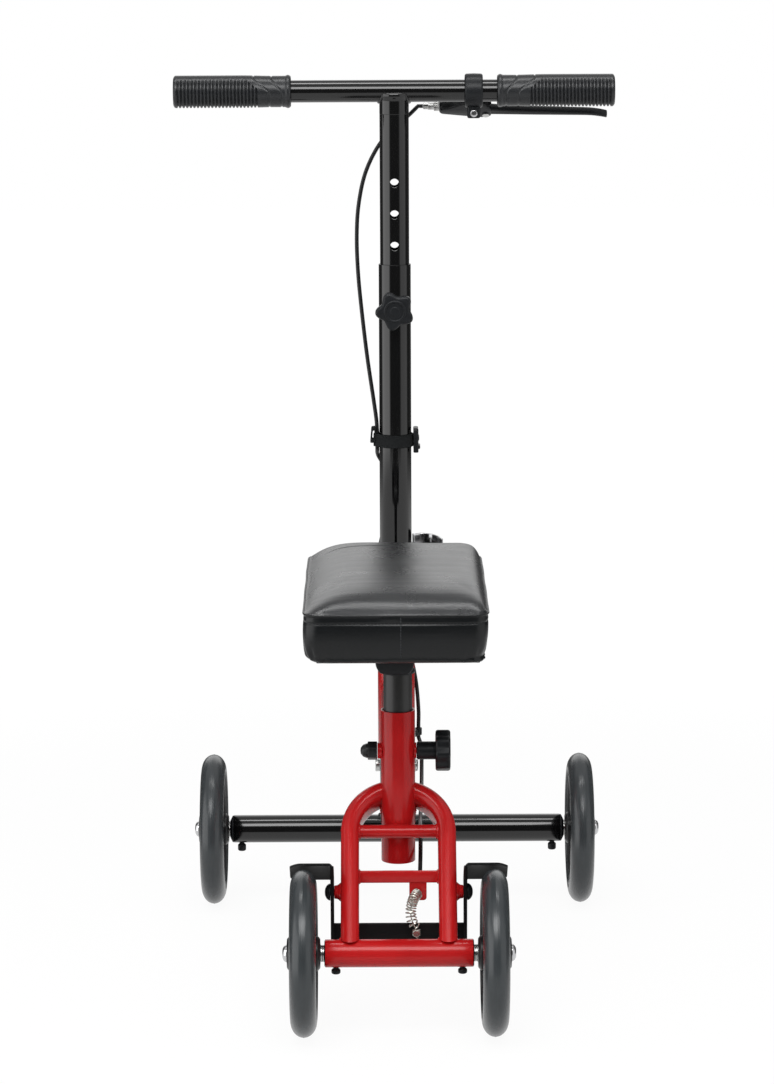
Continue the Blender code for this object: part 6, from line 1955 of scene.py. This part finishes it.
def shoe_plate(name, side):
    """A curved plate over one tyre, bent down into the cheek. Its outer rear corner is cut off."""
    columns = 26
    rows = 24
    grid = []
    for row in range(rows + 1):
        turn = shoe_start + (shoe_end - shoe_start) * row / rows
        reach = shoe_x - 0.016 * max(0.0, 1 - row / rows / 0.46)
        rounding = 0.004 * (1 - min(1.0, min(row, rows - row) / 2.5)) ** 2
        line = []
        for column in range(columns + 1):
            share = column / columns
            x = arm_outer - 0.0035 + (reach - rounding - arm_outer + 0.0035) * share
            drop = 0.0045 * max(0.0, 1 - (x - arm_outer + 0.0035) / 0.005) ** 2
            line.append((side * x, turn, drop))
        grid.append(line)
    verts = []
    for radius in (shoe_outer, shoe_inner):
        for line in grid:
            for x, turn, drop in line:
                place = round_tyre(radius - drop, turn)
                verts.append((x, place.x, place.y))
    wide = columns + 1
    layer = wide * (rows + 1)
    faces = []
    for row in range(rows):
        for column in range(columns):
            a = row * wide + column
            quad = (a, a + 1, a + 1 + wide, a + wide)
            faces += [quad, tuple(layer + i for i in quad[::-1])]
    rim = list(range(wide)) + [row * wide + columns for row in range(1, rows + 1)]
    rim += [rows * wide + column for column in range(columns - 1, -1, -1)]
    rim += [row * wide for row in range(rows - 1, 0, -1)]
    for first, second in zip(rim, rim[1:] + rim[:1]):
        faces.append((second, first, first + layer, second + layer))
    made = to_scene(name, verts, faces)
    face_outward(made.data)
    edge = made.modifiers.new("edge", "BEVEL")
    edge.width = 0.0006
    edge.segments = 2
    edge.limit_method = "ANGLE"
    edge.angle_limit = radians(50)
    return apply_all(made)


bridge = plate("brake_bridge", [
    eased([(-arm_outer + 0.001, 0.0), (arm_outer - 0.001, 0.0), (arm_outer - 0.001, 0.0195),
           (-arm_outer + 0.001, 0.0195)], 0.0015, 3, closed=True),
    arc(0.0026, 24, (0.02, 0.011)),
], bracket_plate, (0, bracket_y, bracket_low), X, Z, 0.0009)
brake_piece(bridge)
cheek_outline = eased([
    (bracket_y - 0.004, bracket_low - 0.0005), (bracket_y + 0.01, bracket_low - 0.0005),
    (brake_pivot.y + 0.0105, brake_pivot.z - 0.01), round_tyre(shoe_inner - 0.001, shoe_end - 0.01),
    *[round_tyre(shoe_outer - 0.003, shoe_end - (shoe_end - shoe_start) * step / 12)
      for step in range(1, 12)],
    round_tyre(shoe_inner - 0.001, shoe_start + 0.01),
    (brake_pivot.y - 0.011, brake_pivot.z + 0.006), (brake_pivot.y - 0.01, brake_pivot.z - 0.01),
], 0.004, 5, closed=True)
for side, word in hands:
    cheek = plate("brake_cheek_" + word, [cheek_outline, arc(0.0045, 32, (brake_pivot.y, brake_pivot.z))],
                  bracket_plate, (side * (arm_inner + arm_outer) / 2, 0, 0), Y, Z, 0.0009)
    brake_piece(cheek)
    brake_piece(shoe_plate("brake_shoe_" + word, side), 40)

# %% Brake pivots
for name, side in (("brake_pivot_left", -1), ("brake_pivot_right", 1)):
    face_x = arm_outer + gap
    cap = lathe(name + "_cap", [
        (0.0, face_x + 0.0064), (0.004, face_x + 0.006), (0.0078, face_x + 0.004), (0.0096, face_x + 0.0014),
        (0.0098, face_x), (0.004, face_x), (0.004, 0.066), (0.0, 0.066),
    ], brake_pivot, X * side, 56, 0.0012, 5)
    dress(cap, knob_plastic, "frame", name)
print("brake pivots at", round(brake_pivot.y, 4), round(brake_pivot.z, 4))

# %% [markdown]
# ## Brake wire and spring
# From the tab the bare wire runs back to an anchor on the bracket. A coil spring round it
# pushes the bracket away. Both follow one slack curve, which bulges to the left.

# %% Wire line
wire_radius = 0.00075
spring_radius = 0.0056
anchor_x = 0.02
anchor_z = highest("wire_anchor").z
anchor_y = bracket_y - 0.002 - 0.0056 - 0.00055 - 2 * gap
tab_rear = Vector((tab_x, crossbar_y - 0.0018, ferrule.z))
anchor_top = Vector((anchor_x, anchor_y, anchor_z + gap))
first_pull = tab_rear + Vector((-0.007, -0.024, 0.001))
last_pull = anchor_top + Vector((-0.012, -0.001, 0.016))


def wire_line(t):
    """The line that the wire follows and the spring winds round."""
    s = 1 - t
    return s ** 3 * tab_rear + 3 * s * s * t * first_pull + 3 * s * t * t * last_pull + t ** 3 * anchor_top


wire_start = Vector((tab_x, crossbar_y + 0.0018 + 0.008, ferrule.z))
wire_points = [wire_start] + [wire_line(index / 28) for index in range(29)]
brake_wire = dress(tube("brake_inner_wire", wire_points, wire_radius, 3), spring_wire, None, "brake_wire")
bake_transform(brake_wire)
route_length(wire_points)

coil = []
curls = 14
coil_steps = 24
for index in range(curls * coil_steps + 1):
    wound = index / (curls * coil_steps)
    t = 0.035 + 0.925 * (0.55 * wound + 0.45 * wound ** 2.2)
    ahead = (wire_line(t + 0.005) - wire_line(t - 0.005)).normalized()
    side = ahead.cross(X).normalized()
    other = ahead.cross(side)
    angle = 2 * pi * index / coil_steps
    coil.append(wire_line(t) + (side * cos(angle) + other * sin(angle)) * spring_radius)
spring = dress(tube("brake_coil_spring", coil, 0.00085, 3), spring_wire, None, "brake_spring")
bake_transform(spring)
print("spring wire", round(route_length(coil), 3), "m")

# %% Ferrule, anchor and clip
ferrule_piece = turned_ring("cable_end_ferrule", [
    (0.0034, 0.009), (0.0036, 0.006), (0.0034, 0.001), (0.0034, 0.0), (0.0011, 0.0), (0.0011, 0.009),
], (tab_x, lowest("cable_ferrule").y, ferrule.z), Y, 48, 0.0005)
dress(ferrule_piece, hub_plastic, "frame", "cable_ferrule")
anchor_low = anchor_z - 0.007
anchor_body = bar("anchor_body", (anchor_x, anchor_y, anchor_low),
                  (anchor_x, anchor_y, anchor_z), 0.005, 48, 0.0009)
anchor_mid = anchor_z - 0.0035
anchor_stem = bar("stem", (anchor_x, anchor_y, anchor_mid), (anchor_x, bracket_y + 0.0048, anchor_mid),
                  0.0023, 32, 0.0004)
anchor_head = plate("head", [eased(arc(0.0044, 6), 0.0004, 2, closed=True)], 0.0026,
                    (anchor_x, anchor_y - 0.0056, anchor_mid), X, Z, 0.0004)
tail_points = [(anchor_x, anchor_y, anchor_low + 0.001), (anchor_x + 0.0008, anchor_y, anchor_low - 0.003),
               (anchor_x + 0.003, anchor_y - 0.0005, anchor_low - 0.0069)]
wire_tail = tube("tail", tail_points, wire_radius, 3)
dress(joined("wire_anchor_screw", anchor_body, anchor_stem, anchor_head, wire_tail), spring_wire, "brake",
      "wire_anchor")

clip_centre = (clip_x, column_y, clip_z)
clip_ring = plate("ring", [arc(cable_radius + gap + 0.0015, 40), arc(cable_radius + gap, 40)], 0.009,
                  clip_centre, X, Y, 0.0004)
clip_low = lowest("cable_clip")
foot_y = column_y - cable_radius - 0.0015
foot = brick("foot", (clip_low.x, foot_y - 0.011, clip_z - 0.004),
             (clip_low.x + 0.0018, foot_y + 0.001, clip_z + 0.004), 0.0006)
screw_head = lathe("screw", [(0.0, 0.0032), (0.003, 0.0029), (0.0042, 0.0014), (0.0042, 0.0), (0.0, 0.0)],
                   (clip_low.x + 0.001, foot_y - 0.006, clip_z), X, 40, 0.0004)
dress(joined("cable_clip_band", clip_ring, foot, screw_head), hub_plastic, "frame", "cable_clip")
print("clip at", round(clip_x, 4), round(clip_z, 4))

# %% [markdown]
# ## Studio
# The walker stands on a pale floor in soft light. The floor and the world show white to the
# camera, as the photograph's backdrop does. Mirror-like surfaces see a brighter side wall and a
# darker camera side, which gives black tubes their dark middle and soft side streaks.

# %% World
world = bpy.data.worlds.new("studio")
bpy.context.scene.world = world
world.use_nodes = True


class Backdrop(Finish):
    """The world's own tree, which has no Principled shader."""

    def __init__(self, owner):
        self.tree = owner.node_tree


sky = Backdrop(world)
background = world.node_tree.nodes["Background"]
path = sky.add("ShaderNodeLightPath", output="Is Camera Ray")
mirror = sky.add("ShaderNodeLightPath", output="Is Glossy Ray")
through = sky.add("ShaderNodeLightPath", output="Is Transmission Ray")
direction = sky.add("ShaderNodeTexCoord", output="Generated")
rise = sky.axis(direction, "Z")
rightward = sky.axis(direction, "X")
turn = rightward.combined("ARCTAN2", rightward, 0 - sky.axis(direction, "Y"))


def strip(low, high, soft=0.12):
    """1 where a mirror ray leaves between two angles, measured rightward from the camera's side."""
    return turn.between(low - soft, low + soft) * (1 - turn.between(high - soft, high + soft))


behind = (1 - turn.between(-2.85, -2.65) * (1 - turn.between(2.65, 2.85))) * rise.between(-0.02, 0.1)
walls = 0.09 + strip(-1.82, -0.68) * 2.1 + strip(0.7, 1.66) * 0.85 + behind * 1.15
ceiling = rise.between(0.45, 0.6)
below = (0 - rise).between(0.19, 0.3)
reflected = (walls * (1 - ceiling) + ceiling * 0.55) * (1 - below) + below * 0.9
level = path + mirror * reflected + through
strength = level + (1 - path) * (1 - mirror) * (1 - through) * 0.42
world.node_tree.links.new(strength.socket, background.inputs["Strength"])
background.inputs["Color"].default_value = (1, 1, 1, 1)

# %% Floor
floor = to_scene("floor", [(-9, -9, -0.0002), (9, -9, -0.0002), (9, 9, -0.0002), (-9, 9, -0.0002)],
                 [(0, 1, 2, 3)])
ground = Finish("studio_floor", Base_Color=(0.86, 0.86, 0.86, 1), Roughness=0.9, Specular_IOR_Level=0.0)
seen = ground.add("ShaderNodeLightPath", output="Is Camera Ray")
glow = ground.tree.nodes.new("ShaderNodeEmission")
glow.inputs["Color"].default_value = (1, 1, 1, 1)
glow.inputs["Strength"].default_value = 1.01
mixed = ground.tree.nodes.new("ShaderNodeMixShader")
output = ground.tree.nodes["Material Output"]
spot = ground.place()
across, along = (ground.axis(spot, name) for name in "XY")
reach = (across * across + along * along).between(0.5, 3.0)
share = seen * (reach * 0.07 + 0.93)
ground.tree.links.new(share.socket, mixed.inputs[0])
ground.tree.links.new(ground.shader.outputs[0], mixed.inputs[1])
ground.tree.links.new(glow.outputs[0], mixed.inputs[2])
ground.tree.links.new(mixed.outputs[0], output.inputs[0])
floor.data.materials.append(ground.material)
floor.visible_glossy = False
floor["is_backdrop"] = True


# %% Lamps
def softbox(name, place, aim, size, watts, mirrored):
    """A rectangular area lamp that looks at a point. It lights surfaces, or only shows in mirrors."""
    lamp = bpy.data.lights.new(name, "AREA")
    lamp.shape = "RECTANGLE"
    lamp.size, lamp.size_y = size
    lamp.energy = watts
    made = in_scene(name, lamp, pointing(place, Vector(aim) - Vector(place), "-Z"))
    made.visible_glossy = mirrored
    made.visible_diffuse = not mirrored


softbox("overhead_shine", (-0.15, -2.45, 3.0), (-0.15, -2.45, 0.0), (3.6, 2.0), 145, True)
softbox("zenith_shine", (0.0, 0.35, 3.0), (0, 0.35, 0.5), (2.4, 0.5), 26, True)
softbox("overhead", (-0.2, -1.8, 3.0), (0, 0, 0.4), (2.4, 2.2), 84, False)
softbox("left", (-2.6, -1.4, 1.5), (0, 0, 0.5), (0.9, 2.4), 12, False)
softbox("right", (2.6, -1.4, 1.5), (0, 0, 0.5), (0.9, 2.4), 9, False)
softbox("camera_side", (0.0, -3.6, 2.4), (0, 0, 0.5), (2.0, 1.0), 8, False)
print("lamps", len(bpy.data.lights))

# %% View transform and sizes
bpy.context.scene.view_settings.view_transform = "Standard"
sizes = {"cad": [list(corner) for corner in cad_box], "scene": [list(corner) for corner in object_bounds()]}
